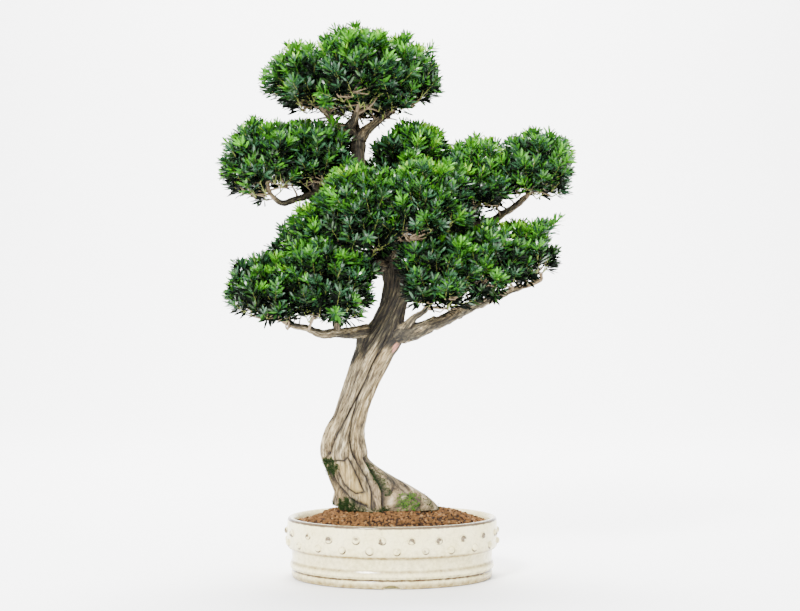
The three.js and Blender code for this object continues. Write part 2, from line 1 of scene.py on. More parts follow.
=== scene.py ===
import logging
import math
from dataclasses import dataclass
from enum import Enum
from typing import Any, Sequence

import bpy
import numpy as np
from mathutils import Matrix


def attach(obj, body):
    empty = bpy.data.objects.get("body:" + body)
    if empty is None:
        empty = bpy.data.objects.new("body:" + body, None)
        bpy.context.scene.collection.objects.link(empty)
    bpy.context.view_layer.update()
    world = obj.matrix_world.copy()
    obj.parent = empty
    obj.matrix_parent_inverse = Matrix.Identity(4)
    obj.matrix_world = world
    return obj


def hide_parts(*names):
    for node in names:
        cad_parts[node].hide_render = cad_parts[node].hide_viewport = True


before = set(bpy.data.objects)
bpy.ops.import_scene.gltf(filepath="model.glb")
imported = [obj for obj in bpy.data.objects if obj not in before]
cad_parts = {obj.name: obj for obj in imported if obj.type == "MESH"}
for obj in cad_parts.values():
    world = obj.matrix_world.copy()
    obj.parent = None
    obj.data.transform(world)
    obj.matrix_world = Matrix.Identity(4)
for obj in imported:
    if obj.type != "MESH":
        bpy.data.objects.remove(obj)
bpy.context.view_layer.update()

Array = np.ndarray
Numbers = Sequence[float]
Material = bpy.types.Material
Socket = bpy.types.NodeSocket
LOG = logging.getLogger("bonsai")
MM = 0.001
ROOT_BODY = "root"
UP = np.array([0.0, 0.0, 1.0])
GOLDEN_ANGLE = math.pi * (3 - math.sqrt(5))
# Sockets of the Mix node when it mixes colours
MIX_FACTOR, MIX_FIRST, MIX_SECOND, MIX_RESULT = 0, 6, 7, 2


# Small helpers


def linear(code: str) -> tuple[float, float, float, float]:
    """Turn an sRGB hex code into a linear colour.

    Args:
        code: the colour as "#rrggbb".

    Returns:
        Linear red, green, blue and an alpha of 1.
    """
    shares = [int(code[at : at + 2], 16) / 255 for at in (1, 3, 5)]
    red, green, blue = (s / 12.92 if s <= 0.04045 else ((s + 0.055) / 1.055) ** 2.4 for s in shares)
    return red, green, blue, 1.0


def eased(share: Array | float) -> Array | float:
    """Ease from 0 to 1: three times the share squared less twice its cube, held at both ends."""
    held = np.clip(share, 0.0, 1.0)
    return held * held * (3 - 2 * held)


def bell(away: Array) -> Array:
    """Fall off from 1 on both sides of 0: the exponential of minus the square."""
    return np.exp(-(away**2))


def unit(vectors: Array) -> Array:
    """Scale vectors on the last axis to length 1."""
    return vectors / np.maximum(np.linalg.norm(vectors, axis=-1, keepdims=True), 1e-12)


def turns(count: int) -> Array:
    """List equal steps of angle round a circle, in radians."""
    return np.arange(count) / count * 2 * math.pi


def around(angles: Array, first: Array, second: Array) -> Array:
    """Turn from one vector towards another: cosine times the first plus sine times the second."""
    return np.cos(angles)[..., None] * first + np.sin(angles)[..., None] * second


def bent(share: Array | float, start: Array, bend: Array, end: Array) -> Array:
    """Read a curve of two steps of straight-line mixing, from a start past a bend to an end."""
    return (1 - share) ** 2 * start + 2 * share * (1 - share) * bend + share**2 * end


def widths_off(angles: Array, angle: float, width: float) -> Array:
    """Say how many widths each of the angles is away from one angle, given like the width in degrees."""
    return np.angle(np.exp(1j * (angles - math.radians(angle)))) / math.radians(width)


def on_oval(half: Array | float, angles: Array | float, depth_share: float) -> Array:
    """Find x and y on an oval: half-width times cosine, and depth share times half-width times sine."""
    return np.stack([half * np.cos(angles), half * np.sin(angles) * depth_share], -1)


def on_grain(lean: Array, run: Array, cells: float, length: float) -> Array:
    """Find places for noise on bark: on a circle whose radius counts cells, and up by the run in cells."""
    return np.stack([np.cos(lean) * cells, np.sin(lean) * cells, run / length * np.ones_like(lean)], -1)


def lattice_noise(places: Array, seed: int) -> Array:
    """Work out smooth noise: chance on whole-number points, blended by the eased share along each axis.

    Args:
        places: points, with x, y and z on the last axis.
        seed: picks the random values.

    Returns:
        A value from -1 to 1 for each point.
    """
    cell = np.floor(places).astype(np.int64)
    part = eased(places - cell)
    total = np.zeros(places.shape[:-1])
    for corner in np.ndindex(2, 2, 2):
        x, y, z = np.moveaxis((cell + corner) & 0xFFFF, -1, 0)
        mixed = x * 73856093 ^ y * 19349663 ^ z * 83492791 ^ seed * 2654435761
        mixed = (mixed ^ (mixed >> 13)) * 1274126177 & 0xFFFFFFFF
        value = (mixed ^ (mixed >> 16)) / 0x7FFFFFFF - 1.0
        total += value * np.prod(np.where(corner, part, 1 - part), axis=-1)
    return total


def layered_noise(places: Array, seed: int, layers: int = 3) -> Array:
    """Add up noise of halving size and halving strength."""
    return sum(lattice_noise(places * 2**at, seed + at) / 2**at for at in range(layers))


def smooth_curve(knots: Array, values: Array, at: Array) -> Array:
    """Read a smooth curve through values: cubic pieces whose slope at a knot is that between its neighbours.

    Args:
        knots: rising positions of the values.
        values: one row for each knot.
        at: positions to read.

    Returns:
        One row for each position.
    """
    slopes = np.gradient(values, knots, axis=0)
    piece = np.clip(np.searchsorted(knots, at, side="right") - 1, 0, len(knots) - 2)
    step = (knots[piece + 1] - knots[piece])[:, None]
    t = (at - knots[piece])[:, None] / step
    first, second = values[piece], values[piece + 1]
    leave, arrive = slopes[piece] * step, slopes[piece + 1] * step
    return (
        first * (2 * t**3 - 3 * t**2 + 1)
        + leave * (t**3 - 2 * t**2 + t)
        + second * (3 * t**2 - 2 * t**3)
        + arrive * (t**3 - t**2)
    )


def square_to(axes: Array) -> tuple[Array, Array]:
    """Find two unit vectors square to each axis and to each other.

    Args:
        axes: unit vectors on the last axis.

    Returns:
        The two vectors for each.
    """
    steep = np.abs(axes[..., 2:3]) > 0.9
    helper = np.where(steep, np.array([1.0, 0.0, 0.0]), UP)
    first = unit(np.cross(helper, axes))
    return first, np.cross(axes, first)


def ring_faces(rings: int, sides: int, closed_round: bool = True) -> Array:
    """List the four-cornered faces between neighbouring rings of points, facing out.

    Args:
        rings: how many rings.
        sides: how many points in a ring.
        closed_round: whether the last point of a ring joins the first.

    Returns:
        One row of four point numbers for each face.
    """
    across = sides if closed_round else sides - 1
    ring, side = np.meshgrid(np.arange(rings - 1), np.arange(across), indexing="ij")
    here, onward = ring * sides + side, ring * sides + (side + 1) % sides
    return np.stack([here, onward, onward + sides, here + sides], -1).reshape(-1, 4)


@dataclass
class Surface:
    """A mesh being made: its points in millimetres, its faces, and what is stored on each point."""

    points: Array
    faces: list[Array]
    marks: dict[str, Array]
    tints: list[Array] | None = None

    def piece(self, name: str, finishes: Sequence[Material], smooth: bool = True) -> bpy.types.Object:
        """Make the Blender object, its place in its mesh, in metres.

        Args:
            name: the piece's name.
            finishes: its materials, in the order that the tints number them.
            smooth: whether its faces are shaded as one smooth surface.

        Returns:
            The new object.
        """
        mesh = bpy.data.meshes.new(name)
        sizes = np.concatenate([np.full(len(faces), faces.shape[1], np.int32) for faces in self.faces])
        corners = np.concatenate([faces.ravel() for faces in self.faces]).astype(np.int32)
        starts = np.concatenate([[0], np.cumsum(sizes)[:-1]]).astype(np.int32)
        mesh.vertices.add(len(self.points))
        mesh.vertices.foreach_set("co", (self.points * MM).astype(np.float32).ravel())
        mesh.loops.add(len(corners))
        mesh.loops.foreach_set("vertex_index", corners)
        mesh.polygons.add(len(sizes))
        mesh.polygons.foreach_set("loop_start", starts)
        mesh.polygons.foreach_set("use_smooth", np.full(len(sizes), smooth))
        for finish in finishes:
            mesh.materials.append(finish)
        if self.tints is not None:
            mesh.polygons.foreach_set("material_index", np.concatenate(self.tints).astype(np.int32))
        mesh.update(calc_edges=True)
        for mark, values in self.marks.items():
            kind, field = ("FLOAT_VECTOR", "vector") if values.ndim == 2 else ("FLOAT", "value")
            stored = mesh.attributes.new(mark, kind, "POINT")
            stored.data.foreach_set(field, values.astype(np.float32).ravel())
        made = bpy.data.objects.new(name, mesh)
        bpy.context.scene.collection.objects.link(made)
        LOG.info("%s: %d triangles", name, int((sizes - 2).sum()))
        return made


def join(surfaces: Sequence[Surface]) -> Surface:
    """Put several surfaces in one mesh.

    Args:
        surfaces: surfaces with the same marks.

    Returns:
        One surface with all their points and faces.
    """
    starts = np.cumsum([0] + [len(surface.points) for surface in surfaces[:-1]])
    faces = [face + start for surface, start in zip(surfaces, starts) for face in surface.faces]
    marks = {name: np.concatenate([part.marks[name] for part in surfaces]) for name in surfaces[0].marks}
    tints = None if surfaces[0].tints is None else [tint for surface in surfaces for tint in surface.tints]
    return Surface(np.concatenate([surface.points for surface in surfaces]), faces, marks, tints)


def closed_tube(rings: Array, ends: Array, marks: dict[str, Array]) -> Surface:
    """Lay a skin over rings of points, with a fan of faces from a pole at each end.

    Args:
        rings: points by ring and side.
        ends: the first and the last pole.
        marks: what is stored on each point, by ring and side.

    Returns:
        The closed surface.
    """
    count, sides = rings.shape[:2]
    ring = np.arange(sides)
    onward = (ring + 1) % sides
    last, pole = (count - 1) * sides, count * sides
    caps = [
        np.stack([onward, ring, np.full(sides, pole)], -1),
        np.stack([last + ring, last + onward, np.full(sides, pole + 1)], -1),
    ]
    flat = {}
    for name, mark in marks.items():
        rows = mark.reshape(count * sides, *mark.shape[2:])
        flat[name] = np.concatenate([rows, rows[:1], rows[last : last + 1]])
    return Surface(np.concatenate([rings.reshape(-1, 3), ends]), [ring_faces(count, sides), *caps], flat)


def repeated(faces: Array, copies: int, points_each: int) -> Array:
    """Number a pattern's faces again for each of its copies."""
    return (faces[None] + points_each * np.arange(copies)[:, None, None]).reshape(-1, faces.shape[1])


def dress(made: bpy.types.Object, nodes: Sequence[str] = ()) -> None:
    """Ride a finished piece on the root body, and let it stand for CAD nodes.

    Args:
        made: the piece.
        nodes: the nodes that it stands for.
    """
    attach(made, ROOT_BODY)
    if nodes:
        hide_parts(*nodes)


# Materials


def add_node(
    tree: bpy.types.NodeTree, kind: str, inputs: dict[str | int, Any] | None = None, **settings: Any
) -> bpy.types.Node:
    """Add a node with its settings and links.

    Args:
        tree: the material's node tree.
        kind: the node's type.
        inputs: socket name or number, and the value or output socket that feeds it.
        settings: the node's own settings; stops holds a colour ramp's places and colours.

    Returns:
        The new node.
    """
    node = tree.nodes.new(kind)
    stops = settings.pop("stops", None)
    for name, value in settings.items():
        setattr(node, name, value)
    if stops:
        ramp = node.color_ramp.elements
        while len(ramp) < len(stops):
            ramp.new(0.5)
        for element, (place, colour) in zip(ramp, stops):
            element.position = place
            element.color = linear(colour)
    for name, value in (inputs or {}).items():
        if isinstance(value, Socket):
            tree.links.new(value, node.inputs[name])
        else:
            node.inputs[name].default_value = value
    return node


class Recipe:
    """A material in the making, with short ways to add the nodes that the finishes need."""

    def __init__(self, name: str) -> None:
        """Start a material with only its surface shader and output, linked.

        Args:
            name: the material's name.
        """
        self.material = bpy.data.materials.new(name)
        self.material.use_nodes = True
        self.tree = self.material.node_tree
        self.tree.nodes.clear()
        self.shader = add_node(self.tree, "ShaderNodeBsdfPrincipled")
        add_node(self.tree, "ShaderNodeOutputMaterial", {"Surface": self.shader.outputs["BSDF"]})

    def set(self, **values: Any) -> Material:
        """Set or feed the shader's sockets and hand over the material.

        Args:
            values: socket names, with underscores for spaces, and what they get.

        Returns:
            The material.
        """
        for name, value in values.items():
            socket = self.shader.inputs[name.replace("_", " ")]
            if isinstance(value, Socket):
                self.tree.links.new(value, socket)
            else:
                socket.default_value = value
        return self.material

    def stored(self, mark: str, output: str = "Fac") -> Socket:
        """Read a mark that is stored on the mesh."""
        return add_node(self.tree, "ShaderNodeAttribute", attribute_name=mark).outputs[output]

    def noise(self, place: Socket, size_mm: float, detail: float, rough: float = 0.5) -> Socket:
        """Add noise of a size in millimetres."""
        inputs = {"Vector": place, "Scale": 1 / (size_mm * MM), "Detail": detail, "Roughness": rough}
        return add_node(self.tree, "ShaderNodeTexNoise", inputs).outputs["Fac"]

    def ramp(self, value: Socket, *stops: tuple[float, str]) -> Socket:
        """Colour a value by places and sRGB codes."""
        return add_node(self.tree, "ShaderNodeValToRGB", {"Fac": value}, stops=stops).outputs[0]

    def spread(self, value: Socket, low: float, high: float, most: float, least: float = 0.0) -> Socket:
        """Spread a value between low and high evenly from least to most, held at both ends."""
        inputs = {"Value": value, "From Min": low, "From Max": high, "To Min": least, "To Max": most}
        return add_node(self.tree, "ShaderNodeMapRange", inputs).outputs[0]

    def torn(self, mark: str, noise: Socket, low: float, high: float, most: float) -> Socket:
        """Read a mark whose border a noise tears, as a share from 0 to most.

        Args:
            mark: the mark's name.
            noise: what tears its border.
            low: sum of both where the share is 0.
            high: sum where it is the most.
            most: the largest share.

        Returns:
            The share.
        """
        inputs = {0: self.stored(mark), 1: noise}
        total = add_node(self.tree, "ShaderNodeMath", inputs, operation="ADD").outputs[0]
        return self.spread(total, low, high, most)

    def mix(self, share: Socket | float, first: Any, second: Any, blend: str = "MIX") -> Socket:
        """Mix a second colour into a first by a share.

        Args:
            share: how much of the second is laid on.
            first: the colour below.
            second: the colour laid on.
            blend: how it is laid on.

        Returns:
            The mixed colour.
        """
        inputs = {MIX_FACTOR: share, MIX_FIRST: first, MIX_SECOND: second}
        mixed = add_node(self.tree, "ShaderNodeMix", inputs, data_type="RGBA", blend_type=blend)
        return mixed.outputs[MIX_RESULT]

    def bump(self, height: Socket, strength: float, distance: float, **under: Socket) -> Socket:
        """Add fine relief, over other relief where that is given as Normal."""
        inputs = {"Height": height, "Strength": strength, "Distance": distance, **under}
        return add_node(self.tree, "ShaderNodeBump", inputs).outputs[0]


# Finishes


@dataclass(frozen=True)
class CrackleGlaze:
    """Cream glaze on thrown stoneware, brushed on thick and fired: glossy, with faint crazing.

    It gives a warm ivory gloss that goes tan where the coat is thin and breaks to brown on sharp edges. The
    same tan and brown also paint the shadow below the studs and along the bottom edge.
    """

    cream: str = "#eee2a6"
    thin: str = "#7b6430"
    pooled: str = "#faf0bf"
    break_and_shadow: str = "#3b241b"
    roughness: float = 0.2
    cloud_mm: float = 26.0
    streak_mm: float = 5.0
    crazing_mm: float = 6.0
    # Share of the cell's size that a line of crazing takes up, and how strongly it is drawn
    crazing: tuple[float, float] = (0.05, 0.22)

    def material(self) -> Material:
        """Build it from the marks thin and glaze_break_and_shadow, each torn by a fine noise, over a cloudy
        ivory. Both marks also carry painted shadow.

        Returns:
            The material.
        """
        recipe = Recipe("cream_crackle_glaze")
        place = add_node(recipe.tree, "ShaderNodeTexCoord").outputs["Object"]
        cloud = recipe.noise(place, self.cloud_mm, 5.0)
        fine = recipe.noise(place, self.streak_mm, 6.0)
        cell = {"Vector": place, "Scale": 1 / (self.crazing_mm * MM)}
        cells = add_node(recipe.tree, "ShaderNodeTexVoronoi", cell, feature="DISTANCE_TO_EDGE")
        width, strength = self.crazing
        colour = recipe.ramp(cloud, (0.3, self.cream), (0.7, self.pooled))
        for share, tint in (
            (recipe.spread(cells.outputs["Distance"], 0.0, width, 0.0, strength), self.thin),
            # Tan where the glaze is thin and brown where it breaks, both also laid on as painted shadow
            (recipe.torn("thin", fine, 0.5, 1.5, 0.95), self.thin),
            (recipe.torn("glaze_break_and_shadow", fine, 0.95, 1.3, 0.9), self.break_and_shadow),
        ):
            colour = recipe.mix(share, colour, linear(tint))
        waved = recipe.bump(cloud, 0.2, 0.0012)
        pitted = recipe.bump(fine, 0.07, 0.0004, Normal=waved)
        return recipe.set(Base_Color=colour, Roughness=self.roughness, IOR=1.5, Normal=pitted)


@dataclass(frozen=True)
class WeatheredWood:
    """Bark and bared wood of an old conifer, weathered outdoors: matt, streaked along the grain.

    It gives pale silvery tan with darker fibres, cracks darkened by painted shade, and brown flaky bark where
    that still stands.
    """

    fibre: str = "#332b1e"
    shade: str = "#6c6046"
    body: str = "#9a8b69"
    bright: str = "#d4c8a8"
    yellow: str = "#dfc695"
    rosy: str = "#e6cfc0"
    fleck: str = "#5f5340"
    crack_shade: str = "#150e09"
    bark_gap_shade: str = "#050402"
    old_bark: str = "#221f16"
    bark_edge: str = "#575037"
    scar: str = "#bb9f62"
    moss: str = "#2b3917"
    sore: str = "#c98474"
    plain: str = "#ffffff"
    roughness: float = 0.85
    fibre_mm: float = 2.9
    fleck_mm: float = 1.6
    patch_mm: float = 42.0
    tone_share: float = 0.6
    fleck_share: float = 0.8

    def material(self) -> Material:
        """Build it on the grain, which runs along the limb, with marks for scar, sore, bark, moss and the
        painted shade in cracks.

        Returns:
            The material.
        """
        recipe = Recipe("weathered_conifer_bark")
        grain = recipe.stored("grain", "Vector")
        fibres = recipe.noise(grain, self.fibre_mm, 7.0, 0.68)
        flecks = recipe.noise(grain, self.fleck_mm, 3.0, 0.6)
        patches = recipe.noise(grain, self.patch_mm, 3.0)
        wood = ((0.36, self.fibre), (0.45, self.shade), (0.54, self.body), (0.67, self.bright))
        colour = recipe.ramp(fibres, *wood)
        tone = recipe.ramp(patches, (0.36, self.yellow), (0.5, self.plain), (0.64, self.rosy))
        fleck = recipe.ramp(flecks, (0.37, self.fleck), (0.5, self.plain))
        for second, share in ((tone, self.tone_share), (fleck, self.fleck_share)):
            colour = recipe.mix(share, colour, second, "MULTIPLY")
        # Old bark, whose near-black gaps are painted shade
        bark = recipe.ramp(fibres, (0.42, self.bark_gap_shade), (0.53, self.old_bark), (0.66, self.bark_edge))
        # Mark, colour, where its border starts and ends, and how strongly it is laid on
        for mark, tint, low, high, most in (
            ("scar", linear(self.scar), 0.6, 1.5, 0.66),
            ("sore", linear(self.sore), 0.7, 1.0, 0.9),
            ("old_bark", bark, 0.75, 1.0, 0.9),
            ("moss", linear(self.moss), 0.75, 1.25, 0.66),
        ):
            colour = recipe.mix(recipe.torn(mark, flecks, low, high, most), colour, tint)
        # Painted shade in the cracks, the deep grooves and the gaps of the bark
        colour = recipe.mix(recipe.stored("crack_shade"), colour, linear(self.crack_shade))
        coarse = recipe.bump(fibres, 0.9, 0.0022)
        rough = recipe.bump(flecks, 0.5, 0.0006, Normal=coarse)
        return recipe.set(Base_Color=colour, Roughness=self.roughness, Normal=rough)


@dataclass(frozen=True)
class PlainFinish:
    """One of several plain tints that many small pieces share, so that each keeps its own colour."""

    name: str
    colour: str
    roughness: float
    gloss: float = 0.5

    def material(self) -> Material:
        """Build it with the colour set on the shader."""
        values = {"Base_Color": linear(self.colour), "Specular_IOR_Level": self.gloss}
        return Recipe(self.name).set(Roughness=self.roughness, **values)


class Tint(Enum):
    """A choice of plain finishes for one kind of small piece."""

    @classmethod
    def materials(cls) -> list[Material]:
        """Build them all, in the order that numbers them."""
        return [tint.value.material() for tint in cls]


class Leaf(Tint):
    """Waxy leaves by age and by painted light, from the painted shade inside the crown to this season's lit
    shoots.
    """

    SHADED = PlainFinish("leaf_shaded", "#050d05", 0.6, 0.1)
    DEEP = PlainFinish("leaf_deep", "#1e3c13", 0.28, 0.5)
    COOL = PlainFinish("leaf_cool", "#2c4e33", 0.25, 0.55)
    FULL = PlainFinish("leaf_full", "#33691a", 0.28, 0.5)
    FRESH = PlainFinish("leaf_fresh", "#4a8e19", 0.32, 0.4)
    YOUNG = PlainFinish("leaf_young", "#7db32a", 0.38, 0.35)


class Grain(Tint):
    """Colours of the fired clay grains, bone dry to damp; the dark one is also painted shade on the mound
    between them.
    """

    RUST = PlainFinish("clay_grain_rust", "#74512f", 0.95, 0.2)
    BROWN = PlainFinish("clay_grain_brown", "#5d4226", 0.95, 0.2)
    DARK = PlainFinish("clay_grain_dark", "#2e1f13", 0.95, 0.2)
    SAND = PlainFinish("clay_grain_sand", "#876844", 0.95, 0.2)


class Twig(Tint):
    """Bark of the twigs, from those that carry a mass to green shoots."""

    GREY = PlainFinish("twig_grey_bark", "#7f6f57", 0.85, 0.3)
    GREEN = PlainFinish("shoot_green_bark", "#828d46", 0.6, 0.4)


class Moss(Tint):
    """Tufts of moss, in shade and in light."""

    DARK = PlainFinish("moss_dark", "#1c2f0c", 0.95, 0.2)
    BRIGHT = PlainFinish("moss_bright", "#4e7d18", 0.95, 0.2)


# Limbs and masses, as the construction has them, in millimetres


@dataclass(frozen=True)
class Limb:
    """A tapering limb: its way from inside its parent to its tip, and its half-thickness at both ends."""

    name: str
    way: tuple[tuple[float, float, float], ...]
    thick: float
    thin: float

    def line(self, step: float) -> tuple[Array, Array]:
        """Read the middle line at even steps.

        Args:
            step: millimetres between the places.

        Returns:
            The places, and how far each lies along the limb from 0 to 1.
        """
        way = np.array(self.way)
        knots = np.concatenate([[0], np.cumsum(np.sqrt(np.linalg.norm(np.diff(way, axis=0), axis=1)))])
        fine = smooth_curve(knots, way, np.linspace(0, knots[-1], 400))
        run = np.concatenate([[0], np.cumsum(np.linalg.norm(np.diff(fine, axis=0), axis=1))])
        at = np.linspace(0, run[-1], max(3, round(run[-1] / step) + 1))
        places = np.stack([np.interp(at, run, fine[:, axis]) for axis in range(3)], axis=1)
        return places, at / run[-1]

    def radius(self, share: Array) -> Array:
        """Half-thickness along the limb: thin, plus the rest by the way that is left to the power 1.2."""
        return self.thin + (self.thick - self.thin) * (1 - share) ** 1.2


LIMBS = (
    Limb(
        "bough_left_lower",
        ((-18, 8, 306), (-45, 0, 304), (-80, -14, 303), (-103, -18, 308), (-131, -24, 317)),
        8,
        3.4,
    ),
    Limb(
        "bough_right_lower",
        ((-5, 2, 296), (15, -6, 303), (47, -14, 313), (78, -18, 327), (142, -12, 353), (184, -8, 369)),
        11,
        2.8,
    ),
    Limb(
        "bough_right_upper",
        ((5, 10, 391), (31, 6, 406), (85, 10, 430), (125, 16, 445), (151, 20, 461), (169, 22, 475)),
        9,
        3.6,
    ),
    Limb(
        "bough_left_upper",
        ((-34, 4, 476), (-59, 8, 478), (-102, 10, 477), (-137, 4, 466), (-147, 1, 472)),
        6.2,
        3.2,
    ),
    Limb("bough_centre_left", ((0, 8, 391), (-20, -6, 389), (-36, -18, 390), (-50, -29, 401)), 8, 4.6),
    Limb("bough_centre_front", ((2, 6, 398), (10, -14, 406), (24, -31, 414)), 7, 4.2),
    Limb("bough_centre_top", ((-20, 7, 449), (-5, 6, 461), (13, 6, 474)), 5.4, 3.4),
    Limb("bough_back_left", ((3, 12, 374), (-12, 38, 392), (-30, 58, 414)), 7, 4),
    Limb("bough_back_right", ((5, 12, 350), (26, 36, 364), (48, 56, 386)), 7.4, 4),
    Limb("bough_back_low_left", ((0, 14, 384), (-35, 34, 382), (-66, 46, 374)), 6, 3.4),
    Limb("bough_back_low_right", ((8, 14, 374), (45, 32, 376), (80, 46, 376)), 6, 3.4),
    Limb("bough_far_left", ((-4, 12, 404), (-30, 10, 402), (-58, 2, 402)), 5, 3),
    Limb("bough_apex_left", ((-44, 0, 540), (-55, -1, 555), (-70, -4, 564), (-84, -7, 580)), 6.6, 3.6),
    Limb("bough_apex_right", ((-43, 0, 540), (-32, 0, 556), (-14, 3, 570), (0, 6, 581)), 6.4, 3.6),
    Limb("bough_apex_back", ((-44, 2, 542), (-45, 18, 560), (-47, 32, 580)), 5, 3.2),
    Limb("branch_apex_front", ((-58, -2, 557), (-48, -12, 567), (-43, -22, 579)), 4.6, 3.2),
    Limb("branch_left_upper", ((-92, 10, 478), (-96, 13, 490), (-98, 14, 494)), 4, 3),
    Limb("branch_right_upper", ((92, 11, 433), (99, 12, 446), (102, 13, 456)), 4.6, 3.2),
    Limb("branch_left_lower", ((-66, -10, 304), (-68, -17, 316), (-69, -22, 326)), 4.4, 3),
    Limb("branch_right_lower", ((8, -4, 304), (24, -20, 321), (40, -26, 331), (46, -29, 341)), 5.4, 3),
    Limb("branch_right_lower_outer", ((122, -15, 345), (119, -16, 357), (118, -17, 362)), 3.8, 2.8),
)


@dataclass(frozen=True)
class Mass:
    """A mass of foliage: the limb that carries it, and its space, a rounded block."""

    name: str
    limb: str
    middle: tuple[float, float, float]
    half: tuple[float, float]
    rise: float
    drop: float
    power: float = 2.4

    def far_out(self, places: Array) -> Array:
        """Say how far out places lie: 0 at the middle and 1 on the space's surface.

        It is the root of the sum of the shares along each axis, all to one power.

        Args:
            places: points, with x, y and z on the last axis.

        Returns:
            One number for each place.
        """
        x, y, z = np.moveaxis(places - np.array(self.middle), -1, 0)
        tall = np.where(z > 0, self.rise, self.drop)
        shares = np.abs(np.stack([x / self.half[0], y / self.half[1], z / tall], -1))
        return (shares**self.power).sum(-1) ** (1 / self.power)

    def carrier(self) -> Limb:
        """Find the limb that carries the mass."""
        return next(limb for limb in LIMBS if limb.name == self.limb)


@dataclass(frozen=True)
class Cloud:
    """Masses that read as one cloud of foliage, which fans out from the outer halves of their limbs."""

    name: str
    masses: tuple[Mass, ...]
    fan_slope: float = 0.45
    fan_from: float = 0.5
    # Foot and tip of the long shoots that stand out of its outline
    long_shoots: tuple[tuple[Numbers, Numbers], ...] = ()

    def far_out(self, places: Array) -> Array:
        """Say how far out places lie in the nearest of the masses' spaces."""
        return np.min([mass.far_out(places) for mass in self.masses], axis=0)

    def outward(self, places: Array) -> Array:
        """Find the way in which a place gets further out fastest, from differences over two millimetres."""
        rise = [self.far_out(places + step) - self.far_out(places - step) for step in np.eye(3)]
        return unit(np.stack(rise, -1))

    def limb_points(self) -> Array:
        """List places along the outer halves of the limbs that carry the masses."""
        lines = [mass.carrier().line(5.0) for mass in self.masses]
        return np.concatenate([line[share >= self.fan_from] for line, share in lines])

    def fan(self, places: Array) -> tuple[Array, Array]:
        """Say how the foliage fans out from the limbs.

        Args:
            places: places in the cloud.

        Returns:
            How high each lies above the slope that rises from the limbs, and its direction from the nearest.
        """
        away = places[..., None, :] - self.limb_points()
        above = (away[..., 2] - self.fan_slope * np.hypot(away[..., 0], away[..., 1])).max(axis=-1)
        nearest = np.linalg.norm(away, axis=-1).argmin(axis=-1)[..., None, None]
        return above, unit(np.take_along_axis(away, nearest, axis=-2)[..., 0, :])

    def box(self) -> tuple[Array, Array]:
        """Find the corners of the box round the masses.

        Returns:
            The lowest and the highest corner.
        """
        middles = np.array([mass.middle for mass in self.masses], float)
        below = middles - np.array([(*mass.half, mass.drop) for mass in self.masses])
        above = middles + np.array([(*mass.half, mass.rise) for mass in self.masses])
        return below.min(axis=0), above.max(axis=0)


CLOUDS = (
    Cloud(
        "apex",
        (
            Mass("apex_left", "bough_apex_left", (-98, -8, 612), (64, 62), 50, 50),
            Mass("apex_right", "bough_apex_right", (6, 6, 616), (57, 62), 56, 52),
            Mass("apex_front", "branch_apex_front", (-42, -40, 628), (56, 54), 48, 60),
            Mass("apex_back", "bough_apex_back", (-48, 48, 626), (60, 56), 46, 54),
        ),
        0.62,
        long_shoots=(
            ((-44, -20, 660), (-46, -22, 683)),
            ((30, -2, 640), (50, -4, 660)),
            ((12, -8, 650), (20, -10, 672)),
            ((-132, -8, 612), (-160, -9, 619)),
        ),
    ),
    Cloud(
        "left_upper",
        (
            Mass("left_upper_outer", "bough_left_upper", (-158, -8, 518), (55, 60), 45, 50),
            Mass("left_upper_inner", "branch_left_upper", (-96, 12, 526), (54, 62), 46, 52),
        ),
        long_shoots=(((-180, -10, 528), (-205, -12, 540)), ((-184, -6, 508), (-209, -8, 501))),
    ),
    Cloud(
        "centre",
        (
            Mass("centre_top", "bough_centre_top", (25, 10, 512), (53, 54), 57, 52),
            Mass("centre_left", "bough_centre_left", (-40, -50, 452), (56, 58), 58, 60),
            Mass("centre_right", "bough_centre_front", (44, -52, 456), (58, 56), 58, 60),
        ),
    ),
    Cloud(
        "right_upper",
        (
            Mass("right_upper_outer", "bough_right_upper", (174, 16, 512), (56, 58), 42, 48),
            Mass("right_upper_inner", "branch_right_upper", (108, 12, 498), (55, 60), 46, 56),
        ),
        long_shoots=(((196, 12, 520), (219, 12, 527)),),
    ),
    Cloud(
        "left_lower",
        (
            Mass("left_lower_outer", "bough_left_lower", (-147, -18, 353), (59, 58), 46, 50),
            Mass("left_lower_inner", "branch_left_lower", (-77, -34, 370), (63, 56), 56, 62),
            Mass("left_middle", "bough_far_left", (-88, -4, 416), (47, 50), 43, 48),
        ),
        long_shoots=(((-176, -20, 356), (-199, -22, 366)), ((-172, -20, 344), (-198, -24, 345))),
    ),
    Cloud(
        "right_lower",
        (
            Mass("right_lower_inner", "branch_right_lower", (58, -46, 382), (56, 54), 50, 62),
            Mass("right_lower_middle", "branch_right_lower_outer", (114, -22, 390), (54, 56), 46, 50),
            Mass("right_lower_outer", "bough_right_lower", (160, -8, 398), (44, 50), 40, 44),
        ),
        long_shoots=(((183, -10, 420), (209, -12, 446)), ((176, -4, 418), (196, -6, 440))),
    ),
    Cloud(
        "back",
        (
            Mass("back_left", "bough_back_left", (-40, 88, 462), (70, 64), 60, 56),
            Mass("back_right", "bough_back_right", (54, 86, 442), (70, 64), 60, 60),
            Mass("back_low_left", "bough_back_low_left", (-96, 56, 398), (62, 54), 44, 42),
            Mass("back_low_right", "bough_back_low_right", (107, 57, 400), (60, 54), 44, 44),
        ),
    ),
)


# Sub-assemblies


